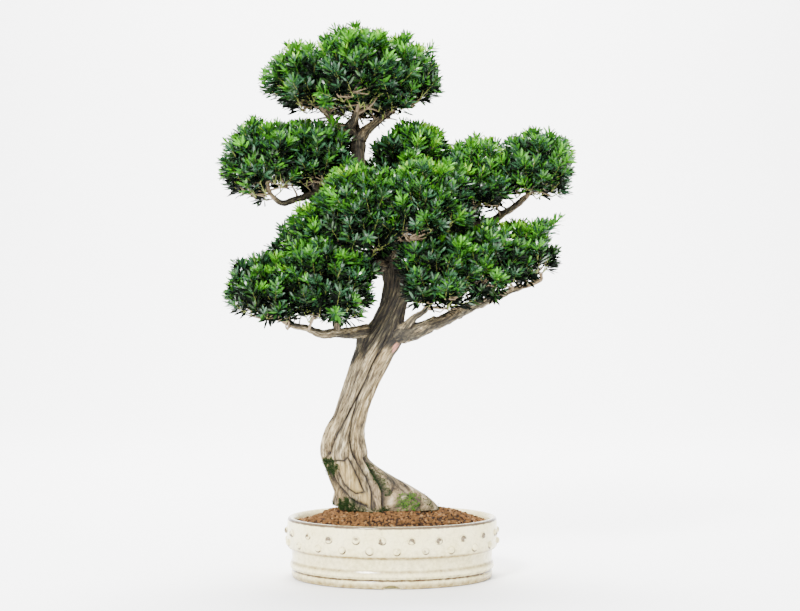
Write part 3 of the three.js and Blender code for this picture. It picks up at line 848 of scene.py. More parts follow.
@dataclass
class Pot:
    """The oval pot: a foot moulding with a cut-out in each side, a recess, a studded band and a thick rim."""

    half_width: float = 131.5
    depth_share: float = 0.8
    sides: int = 360
    # How far in from the half-width and how high, from below the middle up the outside and down the inside
    outline: tuple[tuple[float, float], ...] = (
        (131.5, 0), (22, 0), (21, 0), (8.6, 0), (6.2, 2.2), (5.6, 8), (8.4, 10.4), (4.2, 13.2), (4.4, 18.6),
        (7, 22.6), (6.2, 35.6), (0.6, 38.2), (0, 53), (1, 73.2), (3.6, 75.2), (6.7, 75), (9.2, 72),
        (18.2, 12),
    )
    # Length over which a corner is rounded, and its points
    corner: float = 2.4
    corner_points: int = 6
    # The hand-thrown wave: size of its cells in mm, height as a share of the half-width, and the half-width
    # inside which the underside and the floor stay true
    wave_cells: Numbers = (45.0, 45.0, 26.0)
    wave: float = 0.0028
    wave_from: float = 40.0
    # The cut-outs: width, height, how steep their ends are, and the foot's depth and height that they lift
    notch: tuple[float, float, float] = (29.0, 5.5, 1.35)
    foot: tuple[float, float] = (21.5, 9.0)
    studs_per_row: int = 22
    stud_rows: tuple[float, float] = (58.0, 46.0)
    stud_radius: float = 4.0
    stud_proud: float = 2.9
    stud_base: float = 0.4
    # Rings of glaze round a stud's foot: half-width as a share of the stud's, and how far out
    skirt: tuple[tuple[float, float], ...] = ((1.42, -1.0), (1.36, 0.12), (1.1, 0.3))
    # By ring from the skirt up: how much of the painted shade at the foot and of the glaze's break on the
    # crown it takes
    skirt_share: Numbers = (1, 1, 1, 0.9, 0.25, 0, 0, 0, 0)
    crown_share: Numbers = (0, 0, 0, 0, 0.5, 1, 1, 1, 1)
    # Break of the glaze on the crowns: what the upper row's are chosen from, and the most in the lower row
    upper_breaks: Numbers = (0.8, 1.2, 1.5)
    lower_break: float = 0.8
    # Painted shadow below a stud: the brown of its crescent in each row, the tan of its crescent, and the tan
    # of the ring of painted shade round its foot
    shadow_crescent_brown: tuple[float, float] = (1.6, 1.1)
    shadow_crescent_tan: float = 0.6
    foot_ring_shade: float = 0.3
    # How far in and how high the rim's edges lie, and the spread and strength of the break there
    rim_edges: tuple[tuple[float, float, float, float], ...] = ((1.6, 74.1, 2.4, 1.4), (9.2, 73.0, 1.6, 0.6))
    # Height, reach and thinness of the glaze on the rim's top
    rim_top: tuple[float, float, float] = (75.0, 2.6, 0.45)
    # Height, half-width, thinness and break of the lines where the glaze ran thin, on edges and in the foot;
    # the first is a painted shadow along the bottom edge
    glaze_lines: tuple[tuple[float, float, float, float], ...] = (
        # Painted shadow along the bottom edge
        (0.6, 1.3, 1.0, 0.6),
        (3.0, 4.5, 0.85, 0.2),
        (10.6, 1.7, 1.0, 0.86),
        (13.6, 1.4, 0.4, 0.46),
        (21.0, 2.2, 0.7, 0.38),
        (37.6, 2.4, 0.95, 0.46),
        (30.0, 7.0, 0.34, 0.0),
    )

    def profile(self) -> Array:
        """Find half-width and height along the outline, whose corners are curves of two steps of mixing.

        Returns:
            One row for each place.
        """
        plain = np.array([(self.half_width - inward, height) for inward, height in self.outline])
        rows = list(plain[:3])
        for before, here, after in zip(plain[2:-2], plain[3:-1], plain[4:]):
            shares = [min(self.corner / math.dist(side, here), 0.45) for side in (before, after)]
            start, end = (here + (side - here) * share for side, share in zip((before, after), shares))
            rows += [bent(t, start, here, end) for t in np.linspace(0, 1, self.corner_points)]
        return np.array([*rows, plain[-1]])

    def oval_angles(self, count: int, phase: float = 0.0) -> Array:
        """Find the angles of places at equal steps of arc round the oval.

        Args:
            count: how many places.
            phase: share of a step by which the first place is moved on.

        Returns:
            The oval's parameter at each place, in radians.
        """
        fine = np.linspace(0, 2 * math.pi, 4001)
        pace = np.hypot(np.sin(fine), self.depth_share * np.cos(fine))
        run = np.concatenate([[0], np.cumsum((pace[1:] + pace[:-1]) / 2)])
        return np.interp((np.arange(count) + phase) / count * run[-1], run, fine)

    def foot_lift(self, angles: Array) -> Array:
        """Say how high the cut-outs lift the foot's edge: flat in the middle, eased down at the ends.

        Args:
            angles: the oval's parameter, in radians.

        Returns:
            Millimetres at each angle.
        """
        width, height, steepness = self.notch
        rim = on_oval(self.half_width, angles, self.depth_share)
        centres = on_oval(self.half_width, self.oval_angles(4), self.depth_share)
        away = np.linalg.norm(rim[:, None] - centres, axis=-1).min(axis=1) / (width / 2)
        return height * eased((1 - away) * steepness)

    def glaze_marks(self, half: Array, height: Array) -> dict[str, Array]:
        """Say where the glaze is thin or breaks, on the rim and on the outside by bells of height, and where
        the bell on the bottom edge paints its shadow.

        Args:
            half: half-width of each point.
            height: its height.

        Returns:
            The marks glaze_break_and_shadow and thin.
        """
        level, reach, thinness = self.rim_top
        thin = thinness * np.clip(1 - np.abs(height - level) / reach, 0, 1)
        glaze_break_and_shadow = np.zeros_like(half)
        for inward, level, spread, break_and_shadow in self.rim_edges:
            glaze_break_and_shadow = glaze_break_and_shadow + break_and_shadow * bell(np.hypot(half - (self.half_width - inward), height - level) / spread)
        outside = eased((half - (self.half_width - 12)) / 3)
        for level, wide, thinness, break_and_shadow in self.glaze_lines:
            near = bell((height - level) / wide) * outside
            thin = np.maximum(thin, thinness * near)
            glaze_break_and_shadow = np.maximum(glaze_break_and_shadow, break_and_shadow * near)
        return {"glaze_break_and_shadow": glaze_break_and_shadow, "thin": thin}

    def body(self) -> Surface:
        """Turn the profile round the oval, with a slow wave over it and the cut-outs in its foot.

        Returns:
            The closed skin with its marks.
        """
        profile = self.profile()
        angles = self.oval_angles(self.sides)
        half, height = (column[:, None] * np.ones_like(angles) for column in profile.T)
        places = np.concatenate([on_oval(half, angles, self.depth_share), height[..., None]], -1)
        wobble = layered_noise(places / np.array(self.wave_cells), 5, 2)[..., None]
        places[..., :2] *= 1 + self.wave * wobble * (half[..., None] > self.wave_from)
        depth, tall = self.foot
        in_foot = (half > self.half_width - depth) & (height < tall)
        places[..., 2] = np.where(in_foot, np.maximum(height, self.foot_lift(angles)), height)
        marks = self.glaze_marks(half, height)
        poles = np.array([[0.0, 0.0, 0.0], [0.0, 0.0, self.outline[-1][1]]])
        return closed_tube(places[1:], poles, {name: mark[1:] for name, mark in marks.items()})

    def studs(self, seed: int = 3) -> Surface:
        """Make the studs: pressed half-balls, half-width the cosine and height the sine of a quarter turn.

        A painted shadow darkens a crescent below each stud and a ring round its foot, and the glaze is broken
        on one side of its crown, by a random share of each stud's own.

        Args:
            seed: picks where the studs sit, their sizes and their breaks.

        Returns:
            All the studs as one surface.
        """
        rng = np.random.default_rng(seed)
        turn = turns(16)[None, :]
        rise = np.linspace(0.0, math.pi / 2 * 0.92, 6)
        skirt_across, skirt_out = np.array(self.skirt).T
        across = np.concatenate([skirt_across, np.cos(rise) ** 0.75])[:, None] * self.stud_radius
        outward = np.concatenate([skirt_out, self.stud_base + self.stud_proud * np.sin(rise)])[:, None]
        skirt, crown = (np.array(shares)[:, None] for shares in (self.skirt_share, self.crown_share))
        made = []
        for row, height in enumerate(self.stud_rows):
            for angle in self.oval_angles(self.studs_per_row, 0.5 * row + 0.2):
                foot = np.append(on_oval(self.half_width - 0.35, angle, self.depth_share), 0.0)
                out = unit(np.array([math.cos(angle), math.sin(angle) / self.depth_share, 0.0]))
                side = np.cross(UP, out)
                place = foot + UP * (height + rng.uniform(-0.8, 0.8)) + side * rng.uniform(-1.2, 1.2)
                size = rng.uniform(0.86, 1.06)
                dome = place + size * (across[..., None] * around(turn, side, UP) + outward[..., None] * out)
                top = self.stud_proud + self.stud_base
                poles = np.stack([place - out, place + size * top * out])
                bare = rng.uniform(0.0, self.lower_break) if row else rng.choice(self.upper_breaks)
                patchy = 0.65 + 0.35 * np.cos(turn - rng.uniform(0, 6.3))
                # Painted shadow: a crescent on the stud's lower side, and a ring of painted shade round its
                # foot
                below = skirt * np.clip(np.cos(turn + rng.uniform(0.9, 1.9)), 0, 1)
                break_and_shadow = np.maximum(bare * crown * patchy, self.shadow_crescent_brown[row] * below)
                thin = self.foot_ring_shade * skirt + self.shadow_crescent_tan * below
                made.append(closed_tube(dome, poles, {"glaze_break_and_shadow": break_and_shadow, "thin": thin}))
        return join(made)

    def build(self, glaze: CrackleGlaze) -> None:
        """Make the pot's body with its studs and let it stand for the pot."""
        made = join([self.body(), self.studs()]).piece("pot_glazed", [glaze.material()])
        dress(made, ["pot"])


@dataclass
class Soil:
    """Loose clay grains on a mound that rises from the pot's wall to the ground round the trunk."""

    half_width: float = 121.6
    depth_share: float = 0.8
    underside: float = 14.0
    edge_height: float = 68.2
    ground: float = 83.6
    ground_share: float = 0.6
    # Lumps: the rings whose points are lowered, how far, a ring's points, and what makes the chance
    ring_shares: tuple[float, ...] = (1.0, 0.88, 0.76, 0.64, 0.52, 0.4)
    lump_depth: float = 3.4
    lump_sides: int = 24
    chance: tuple[float, float, float] = (4375, 12.9898, 78.233)
    # How far the mound lies below the lumpy surface that the grains follow
    below_grains: float = 1.1
    grain_count: int = 4000
    grain_half_size: tuple[float, float] = (1.5, 2.7)
    grain_stretch: tuple[float, float] = (0.75, 1.15)
    grain_dent: float = 0.2
    # How deep grains are sunk, in shares of their half-size, and how common each colour is
    grain_sunk: tuple[float, float] = (-0.85, -0.05)
    grain_shares: Numbers = (0.42, 0.4, 0.12, 0.06)
    seed: int = 41

    def lumps(self, share: Array, turn: Array) -> Array:
        """Say how far the mound is lowered: at the rings' points by chance, and mixed evenly between.

        Chance is the fraction of a large sine of the ring's and the point's numbers.

        Args:
            share: share of the way to the wall.
            turn: angle round the oval, in radians.

        Returns:
            Millimetres below the smooth mound.
        """
        ring, side = np.meshgrid(np.arange(len(self.ring_shares)), np.arange(self.lump_sides), indexing="ij")
        large, per_ring, per_side = self.chance
        table = self.lump_depth * (np.abs(large * np.sin(per_ring * ring + per_side * side)) % 1)
        table[[0, -1]] = 0
        row = np.interp(-share, -np.array(self.ring_shares), np.arange(len(table)))
        row, column = np.broadcast_arrays(row, turn / (2 * math.pi) * self.lump_sides)
        ring = np.minimum(row.astype(int), len(table) - 2)
        side = column.astype(int)
        down, along = row - ring, column - side
        here, onward = side % self.lump_sides, (side + 1) % self.lump_sides
        near, far = (table[at, here] * (1 - along) + table[at, onward] * along for at in (ring, ring + 1))
        return near * (1 - down) + far * down

    def height(self, share: Array, turn: Array) -> Array:
        """Height of the mound: eased from the ground down to the edge, less its lumps."""
        rise = eased((1 - share) / (1 - self.ground_share))
        return self.edge_height + (self.ground - self.edge_height) * rise - self.lumps(share, turn)

    def places(self, share: Array, turn: Array, above: Array | float) -> Array:
        """Find places so far above the mound's lumpy surface."""
        flat = on_oval(self.half_width * share, turn, self.depth_share)
        return np.concatenate([flat, (self.height(share, turn) + above)[..., None]], -1)

    def mound(self) -> Surface:
        """Make the mound below the grains: rings of the oval from the wall in, over a flat underside.

        Returns:
            The closed mound, in the dark tint as painted shade between the grains.
        """
        surface = self.places(np.linspace(1, 0.02, 40)[:, None], turns(96)[None, :], -self.below_grains)
        rim = surface[:1] * np.array([0.93, 0.93, 0.0]) + UP * self.underside
        poles = np.array([[0.0, 0.0, self.underside], [0.0, 0.0, self.ground - self.below_grains]])
        mound = closed_tube(np.concatenate([rim, surface]), poles, {})
        # The mound shows between the grains, so it takes the dark tint as painted shade
        dark = list(Grain).index(Grain.DARK)
        mound.tints = [np.full(len(faces), dark) for faces in mound.faces]
        return mound

    def grains(self) -> Surface:
        """Strew grains: each a ball of three rings of six points, dented, stretched and turned by chance.

        Returns:
            All the grains as one surface.
        """
        rng = np.random.default_rng(self.seed)
        count = self.grain_count
        rise = np.radians([-52.0, 0.0, 52.0])[:, None]
        turn = (np.arange(6)[None, :] + 0.5 * np.arange(3)[:, None]) * math.pi / 3
        rings = around(rise + 0 * turn, around(turn, *np.eye(3)[:2]), UP)
        pattern = closed_tube(rings, UP * np.array([[-0.95], [0.95]]), {})
        share = np.sqrt(rng.random(count)) * 0.985
        way = rng.random(count) * 2 * math.pi
        small, large = self.grain_half_size
        half = small + (large - small) * rng.random(count) ** 1.4
        middles = self.places(share, way, half * rng.uniform(*self.grain_sunk, count))
        dents = 1 + self.grain_dent * rng.uniform(-1, 1, (count, len(pattern.points), 1))
        stretch = rng.uniform(*self.grain_stretch, (count, 1, 3)) * half[:, None, None]
        first, second = square_to(unit(rng.normal(size=(count, 3))))
        frames = np.stack([first, second, np.cross(first, second)], 1)
        points = np.einsum("npa,nab->npb", pattern.points[None] * dents * stretch, frames) + middles[:, None]
        faces = [repeated(part, count, len(pattern.points)) for part in pattern.faces]
        tint = rng.choice(len(Grain), count, p=self.grain_shares)
        tints = [np.repeat(tint, len(part)) for part in pattern.faces]
        return Surface(points.reshape(-1, 3), faces, {}, tints)

    def build(self) -> None:
        """Make the mound with the grains on it."""
        made = join([self.mound(), self.grains()]).piece("soil_grains", Grain.materials(), smooth=False)
        dress(made, ["soil"])


@dataclass(frozen=True)
class Split:
    """A crack in the trunk's front, in a valley: places across and up, depth, half-width, valley's depth."""

    places: tuple[tuple[float, float], ...]
    depth: float
    width: float
    valley: float = 1.6

    def distance(self, across: Array, up: Array) -> Array:
        """Work out the distance from points to the line through the places.

        Args:
            across: x of the points.
            up: their heights.

        Returns:
            Millimetres to the line.
        """
        least = np.full(across.shape, 1e9)
        for (x0, z0), (x1, z1) in zip(self.places, self.places[1:]):
            run = np.array([x1 - x0, z1 - z0], float)
            share = np.clip(((across - x0) * run[0] + (up - z0) * run[1]) / (run @ run), 0, 1)
            least = np.minimum(least, np.hypot(across - x0 - share * run[0], up - z0 - share * run[1]))
        return least


@dataclass(frozen=True)
class Patch:
    """A place on the trunk's front that differs: an oval with a firm edge, leaning by degrees of slant."""

    mark: str
    x: float
    z: float
    wide: float
    tall: float
    strength: float = 1.0
    slant: float = 0.0

    def amount(self, across: Array, up: Array) -> Array:
        """Say how much of the mark points carry: the strength, falling by the fourth power of the way out.

        Args:
            across: x of the points.
            up: their heights.

        Returns:
            The mark at each point.
        """
        turn = math.radians(self.slant)
        side = (across - self.x) * math.cos(turn) + (up - self.z) * math.sin(turn)
        along = (up - self.z) * math.cos(turn) - (across - self.x) * math.sin(turn)
        return self.strength * bell((side / self.wide) ** 2 + (along / self.tall) ** 2)


@dataclass(frozen=True)
class BarkNoise:
    """Noise that follows the grain: how many times finer than the strands' cells, its seed and its layers."""

    finer: tuple[float, float, float]
    seed: int
    layers: int

    def read(self, wood: Array, order: int = 0) -> Array:
        """Read it at places on the grain, for a limb's own number."""
        return layered_noise(wood * np.array(self.finer), self.seed + order, self.layers)


@dataclass
class Trunk:
    """The leaning trunk with its root flare, twisted strands, cracks, scar, old bark and moss."""

    # Height, middle across and back, and half-width
    stations: tuple[tuple[float, float, float, float], ...] = (
        (84.3, -34, 0, 28),
        (108, -41, -2, 30),
        (133, -51, -5, 31.5),
        (156, -59, -8, 29),
        (175, -60, -8, 25.5),
        (205, -52, -4, 21.5),
        (237, -40, 0, 21.5),
        (270, -26, 5, 24.5),
        (301, -11, 8, 24.5),
        (322, -4, 9, 19),
        (350, 4.5, 10, 16.2),
        (378, 4.5, 10, 16.2),
        (395, 0, 10, 15),
        (422, -9, 9, 11.8),
        (452, -23, 7, 10.3),
        (483, -35, 4, 9.4),
        (515, -41, 2, 8.5),
        (546, -44, 0, 8),
    )
    depth_share: float = 0.9
    rings: int = 410
    sides: int = 236
    flute_count: int = 5
    flute_depth: float = 0.07
    # Turn in radians for each millimetre of height
    flute_twist: float = 0.006
    flute_fade: float = 300.0
    # Angle in degrees, reach past the column, height where it has faded, and width in degrees
    roots: tuple[tuple[float, float, float, float], ...] = (
        (-7, 67, 150, 27),
        (58, 34, 132, 24),
        (128, 32, 128, 24),
        (208, 4, 108, 22),
        (-72, 17, 118, 24),
    )
    # Angle in degrees, reach, height and half-height of the swelling under each bough
    shoulders: tuple[tuple[float, float, float, float], ...] = (
        (-18, 7, 297, 16),
        (186, 5, 302, 12),
        (-5, 4, 394, 12),
        (200, 3, 392, 12),
        (140, 2.5, 472, 9),
        (190, 2.5, 541, 8),
        (0, 2.5, 541, 8),
    )
    shoulder_width: float = 34.0
    splits: tuple[Split, ...] = (
        Split(((-16, 278), (-26, 257), (-39, 228), (-59, 197), (-73, 172), (-81, 155)), 3.2, 1.7, 3.6),
        Split(
            ((-39, 228), (-47, 199), (-50, 172), (-44, 152), (-28, 126), (-21, 107), (-23, 88)),
            3.6,
            1.8,
            3.6,
        ),
        Split(
            ((-84, 144), (-68, 147), (-59, 147), (-54, 151), (-49, 143), (-41, 126), (-33, 108)),
            2.6,
            1.5,
            1.4,
        ),
        Split(((-68, 132), (-61, 117), (-45, 106), (-32, 108)), 2.0, 1.4, 1.0),
        Split(((-28, 149), (-15, 126), (-7, 109), (-7, 92)), 5.0, 3.2, 3.6),
        Split(((-79, 132), (-73, 118), (-63, 106), (-45, 95), (-30, 91)), 3.4, 2.4, 2.6),
        Split(((-7, 300), (-13, 280), (-24, 262)), 2.0, 1.4, 1.2),
        Split(((-46, 280), (-60, 233), (-75, 197)), 1.2, 1.4, 1.0),
        Split(((-30, 296), (-37, 268), (-52, 232), (-64, 208)), 1.2, 1.2, 1.0),
        Split(((-58, 190), (-62, 170), (-66, 158)), 1.0, 1.0, 0.6),
        Split(((-36, 190), (-38, 168), (-30, 146), (-16, 128)), 1.2, 1.2, 0.9),
        Split(((8, 118), (22, 104), (34, 96)), 1.6, 1.8, 1.0),
    )
    patches: tuple[Patch, ...] = (
        Patch("scar", -52, 127, 11, 27, 0.72, 38),
        Patch("scar", -43, 113, 9, 11, 1.4, 30),
        Patch("scar", -31, 99, 9, 9, 0.9, 30),
        Patch("sore", 6, 285, 5, 9, 0.5, -24),
        Patch("moss", -80, 139, 14, 15, 1.05),
        Patch("moss", -12, 120, 7, 27, 0.95, 30),
        Patch("moss", 22, 96, 17, 12, 1.4),
        Patch("moss", 45, 99, 17, 8, 1.0, -38),
        # A dark patch in the cavity at the left foot, laid on with the moss tint
        Patch("moss", -58, 91, 14, 9, 1.2),
        Patch("old_bark", -2, 128, 7, 20, 0.55, 30),
    )
    # Turn of the grain round the trunk for each mm of height, and how far and over what height it sways
    grain_twist: float = 0.0052
    grain_sway: tuple[float, float] = (0.25, 37.0)
    # Cells round half the trunk's girth, and millimetres of height to a cell, of the wood's strands
    wood_cells: tuple[float, float] = (3.2, 95.0)
    strands: BarkNoise = BarkNoise((1.0, 1.0, 1.0), 11, 3)
    grooves: BarkNoise = BarkNoise((2.6, 2.6, 1.4), 17, 3)
    fibres: BarkNoise = BarkNoise((7.5, 7.5, 3.0), 23, 2)
    fissures: BarkNoise = BarkNoise((2.4, 2.4, 3.2), 31, 3)
    # Height of the strands, the grooves, the fibres and the old bark's plates, and how far those are sunk
    relief: tuple[float, float, float, float, float] = (1.5, 1.5, 0.45, 3.4, 1.6)
    # Height where old bark begins and the run over which it closes, moved by the strands and round the trunk
    old_bark: tuple[float, float, float, float] = (258.0, 40.0, 20.0, 9.0)
    # Half-width of a split's valley, and the half-width and strength of the painted shade beside its crack
    valley_width: float = 6.5
    crack_side_shade: tuple[float, float] = (4.2, 0.3)
    # Depth at which the painted shade in a crack is fully dark
    dark_depth: float = 1.9
    # Cells in mm of the noise that makes moss patchy, its middle and its strength
    moss_noise: tuple[float, float, float] = (3.5, 0.72, 0.8)
    moss_foot: float = 96.0
    # How common tufts are, from what moss on, tufts to a place, and the length of their blades
    tufts: tuple[float, float, int] = (2.2, 0.28, 2)
    blade_length: tuple[float, float] = (1.6, 4.4)
    # Across, where the moss lies in light
    bright_moss: tuple[float, float] = (2.0, 34.0)

    def column(self, heights: Array) -> Array:
        """Read the middle and half-width of the trunk at heights."""
        table = np.array(self.stations)
        return smooth_curve(table[:, 0], table[:, 1:], heights)

    def reach(self, heights: Array, half: Array, angles: Array) -> Array:
        """Say how far the skin stands from the middle: the half-width with its flutes, and each root's bell.

        A shoulder below each bough is a bell of angle and height.

        Args:
            heights: millimetres above the table.
            half: the trunk's half-width there.
            angles: angles round the trunk, in radians.

        Returns:
            Millimetres from the middle to the skin, before its relief.
        """
        grip = 1 - eased((heights - self.flute_fade) / 120)
        flute = np.cos(self.flute_count * (angles - self.flute_twist * heights))
        total = half * (1 + grip * self.flute_depth * flute)
        ground = self.stations[0][0]
        for angle, far, top, width in self.roots:
            low = eased((top - heights) / (top - ground))
            total = total + far * low * bell(widths_off(angles, angle, width))
        for angle, far, level, tall in self.shoulders:
            away = widths_off(angles, angle, self.shoulder_width)
            total = total + far * bell(np.hypot(away, (heights - level) / tall))
        return total

    def surface(self) -> Surface:
        """Work out the trunk's skin on a grid of height and angle, with its relief and its marks.

        The relief is the sum of strands and fibres from noise that is stretched along the trunk and turns
        with it, long fissures of old bark higher up, and at each split a groove in a wider valley.

        Returns:
            The closed skin.
        """
        low, high = self.stations[0][0], self.stations[-1][0]
        heights = np.linspace(low, high, self.rings)[:, None] * np.ones((1, self.sides))
        angles = turns(self.sides)[None, :] * np.ones((self.rings, 1))
        middle_x, middle_y, half = (column[:, None] for column in self.column(heights[:, 0]).T)
        reach = self.reach(heights, half, angles)
        x = middle_x + reach * np.cos(angles)
        front = np.clip(-np.sin(angles) * 2.5, 0, 1)
        sway, wave = self.grain_sway
        lean = angles - heights * self.grain_twist + sway * np.sin(heights / wave)
        wood = on_grain(lean, heights, *self.wood_cells)
        strands, fibres = self.strands.read(wood), self.fibres.read(wood)
        grooves = -np.abs(self.grooves.read(wood)) ** 0.8
        fissures = np.abs(self.fissures.read(wood))
        start, run, uneven, round_it = self.old_bark
        old = eased((heights + uneven * strands - round_it * np.cos(angles) - start) / run)
        strand_high, groove_deep, fibre_high, plate_high, plate_sunk = self.relief
        relief = strand_high * strands + groove_deep * grooves + fibre_high * fibres
        relief = relief * np.clip(half / 20, 0.5, 1.2) * (1 - 0.4 * old)
        relief = relief + old * (plate_high * fissures - plate_sunk) * half / 20
        crack_shade = np.zeros_like(x)
        # Each split's crack and its sides are darkened with painted shade, darker the deeper the crack
        for split in self.splits:
            away = split.distance(x, heights)
            groove, soft = bell(away / split.width), self.crack_side_shade[1] * bell(away / self.crack_side_shade[0])
            relief -= (split.depth * groove + split.valley * bell(away / self.valley_width)) * front
            dark = np.maximum(groove, soft) * front * min(1.0, split.depth / self.dark_depth)
            crack_shade = np.maximum(crack_shade, dark)
        marks = {name: np.zeros_like(x) for name in ("scar", "sore", "moss")} | {"old_bark": old}
        for patch in self.patches:
            marks[patch.mark] = np.maximum(marks[patch.mark], patch.amount(x, heights) * front)
        relief -= 1.2 * marks["scar"]
        cell, usual, patchy = self.moss_noise
        tufty = lattice_noise(np.stack([x, reach * np.sin(angles), heights], -1) / cell, 77)
        moss = marks["moss"] * np.clip(usual + patchy * tufty, 0, 1)
        marks["moss"] = np.maximum(moss, eased((self.moss_foot - heights) / 10) * (0.45 + 0.35 * strands))
        reach = reach + relief * (0.35 + 0.65 * eased((heights - low) / 6))
        flat = on_oval(reach, angles, self.depth_share) + np.stack([middle_x, middle_y], -1)
        # Painted shade in the deepest grooves and in the gaps between the old bark's plates
        groove_shade = 0.55 * np.clip((-grooves - 0.75) / 0.5, 0, 1)
        fissure_shade = 0.7 * old * np.clip((0.12 - fissures) / 0.1, 0, 1)
        marks["crack_shade"] = np.clip(crack_shade * 1.1 + groove_shade + fissure_shade, 0, 0.97)
        marks["grain"] = on_grain(lean, heights, 24, 6) * MM
        rings = np.concatenate([flat, heights[..., None]], -1)
        poles = np.array([[*rings[0].mean(axis=0)[:2], low], [middle_x[-1, 0], middle_y[-1, 0], high + 2]])
        return closed_tube(rings, poles, marks)

    def build(self, bark: Material) -> None:
        """Make the trunk, let it stand for its solid, and grow its moss.

        Args:
            bark: its material.
        """
        surface = self.surface()
        dress(surface.piece("trunk_bark", [bark]), ["trunk"])
        dress(self.moss(surface).piece("trunk_moss", Moss.materials()))

    def moss(self, surface: Surface, seed: int = 7) -> Surface:
        """Grow moss on the trunk's mossy places: tufts of three-sided blades.

        Args:
            surface: the trunk's skin.
            seed: picks the places and the blades.

        Returns:
            All the blades as one surface.
        """
        rng = np.random.default_rng(seed)
        common, least, each = self.tufts
        chance = common * np.clip(surface.marks["moss"] - least, 0, 1)
        chosen = np.repeat(np.flatnonzero(rng.random(len(surface.points)) < chance), each)
        root = surface.points[chosen] + rng.normal(size=(len(chosen), 3)) * np.array([0.7, 0.3, 0.7])
        outward = np.column_stack([root[:, :2] - self.column(root[:, 2])[:, :2], np.full(len(root), 8.0)])
        axis = unit(unit(outward) + 0.5 * rng.normal(size=outward.shape))
        side, other = square_to(axis)
        length = rng.uniform(*self.blade_length, (len(chosen), 1))
        corners = [root + 0.45 * side, root - 0.25 * side + 0.4 * other, root - 0.25 * side - 0.4 * other]
        points = np.stack([*corners, root + axis * length], 1).reshape(-1, 3)
        faces = repeated(np.array([[0, 1, 3], [1, 2, 3], [2, 0, 3], [0, 2, 1]]), len(chosen), 4)
        left, right = self.bright_moss
        bright = (root[:, 0] > left) & (root[:, 0] < right) & (rng.random(len(root)) < 0.8)
        return Surface(points, [faces], {}, [np.repeat(bright.astype(int), 4)])


@dataclass
class Boughs:
    """The boughs and branches with their bark and the collar where each leaves its parent."""

    sides: int = 28
    step: float = 1.5
    # Swelling of the collar as a share of the half-thickness, and the run over which it fades
    collar: tuple[float, float] = (0.42, 24.0)
    # Run over which a limb swells out of its parent: in half-thicknesses of thick ones, in mm of the others
    thick_from: float = 7.5
    thick_sink: float = 2.1
    sink: float = 9.0
    # How far a limb sways from its line, and millimetres of run to a cell of that noise
    sway: tuple[float, float] = (1.5, 19.0)
    wood_cells: tuple[float, float] = (2.2, 24.0)
    strands: BarkNoise = BarkNoise((1.0, 1.0, 1.0), 50, 3)
    plates: BarkNoise = BarkNoise((2.0, 2.0, 3.0), 90, 2)
    knots: BarkNoise = BarkNoise((1.0, 1.0, 1.0), 130, 1)
    # Height of the strands, the plates and the knots as shares of the half-thickness
    relief: tuple[float, float, float] = (0.13, 0.24, 0.18)

    def limb_surface(self, limb: Limb, order: int) -> Surface:
        """Carry a ring along the limb, which sways a little from its line by a slow noise.

        The radius is the limb's, drawn in where it is sunk in its parent, plus a collar's fading swelling,
        knots and bark from noise.

        Args:
            limb: the limb.
            order: its number, which seeds its bark.

        Returns:
            The limb's skin with its marks.
        """
        line, share = limb.line(self.step)
        run = share * np.linalg.norm(np.diff(line, axis=0), axis=1).sum()
        far, cell = self.sway
        places = [np.stack([run / cell, 0 * run + axis, 0 * run], -1) for axis in range(3)]
        sway = lattice_noise(np.stack(places, 1), 7 + order)
        line = line + far * sway * (eased(share * 4) * eased((1 - share) * 4))[:, None]
        along = unit(np.gradient(line, axis=0))
        first = self.untwisted(square_to(along)[0], along)[:, None]
        swelling, fade = self.collar
        sink = self.thick_sink * limb.thick if limb.thick > self.thick_from else self.sink
        radius = limb.radius(share) * (1 + swelling * bell(run / fade)) * (0.35 + 0.65 * eased(run / sink))
        run = run[:, None]
        angles = turns(self.sides)[None, :]
        lean = angles + run / 60
        wood = on_grain(lean, run, *self.wood_cells)
        strands, plates = self.strands.read(wood, order), np.abs(self.plates.read(wood, order))
        knots = self.knots.read(on_grain(lean, run, 1.0, 13.0), order)
        strand_high, plate_high, knot_high = self.relief
        bark = strand_high * strands + plate_high * (plates - 0.4) + knot_high * np.clip(knots, 0, 1)
        skin = radius[:, None] * (1 + bark)
        skin[-1] *= 0.6
        rings = line[:, None] + skin[..., None] * around(angles, first, np.cross(along[:, None], first))
        marks = {name: np.zeros_like(lean) for name in ("scar", "sore", "moss")}
        # Painted shade in the gaps between the bark's plates
        marks["crack_shade"] = np.clip((0.14 - plates) * 4, 0, 0.7)
        marks["old_bark"] = np.clip(0.4 + 0.4 * strands + 0.25 * np.exp(-run / 20), 0.1, 0.85)
        marks["grain"] = on_grain(lean, run, 9, 3) * MM
        return closed_tube(rings, np.stack([line[0], line[-1] + along[-1] * 0.5]), marks)

    @staticmethod
    def untwisted(first: Array, along: Array) -> Array:
        """Carry the first cross vector along the line, so that rings don't turn against each other.

        Args:
            first: vectors square to the line, of which the first is kept.
            along: the line's direction.

        Returns:
            The carried vectors.
        """
        carried = first.copy()
        for at in range(1, len(along)):
            carried[at] = unit(carried[at - 1] - (carried[at - 1] @ along[at]) * along[at])
        return carried

    def build(self, bark: Material) -> None:
        """Make all the limbs as one piece."""
        made = join([self.limb_surface(limb, order) for order, limb in enumerate(LIMBS)])
        dress(made.piece("boughs_bark", [bark]), [limb.name for limb in LIMBS])


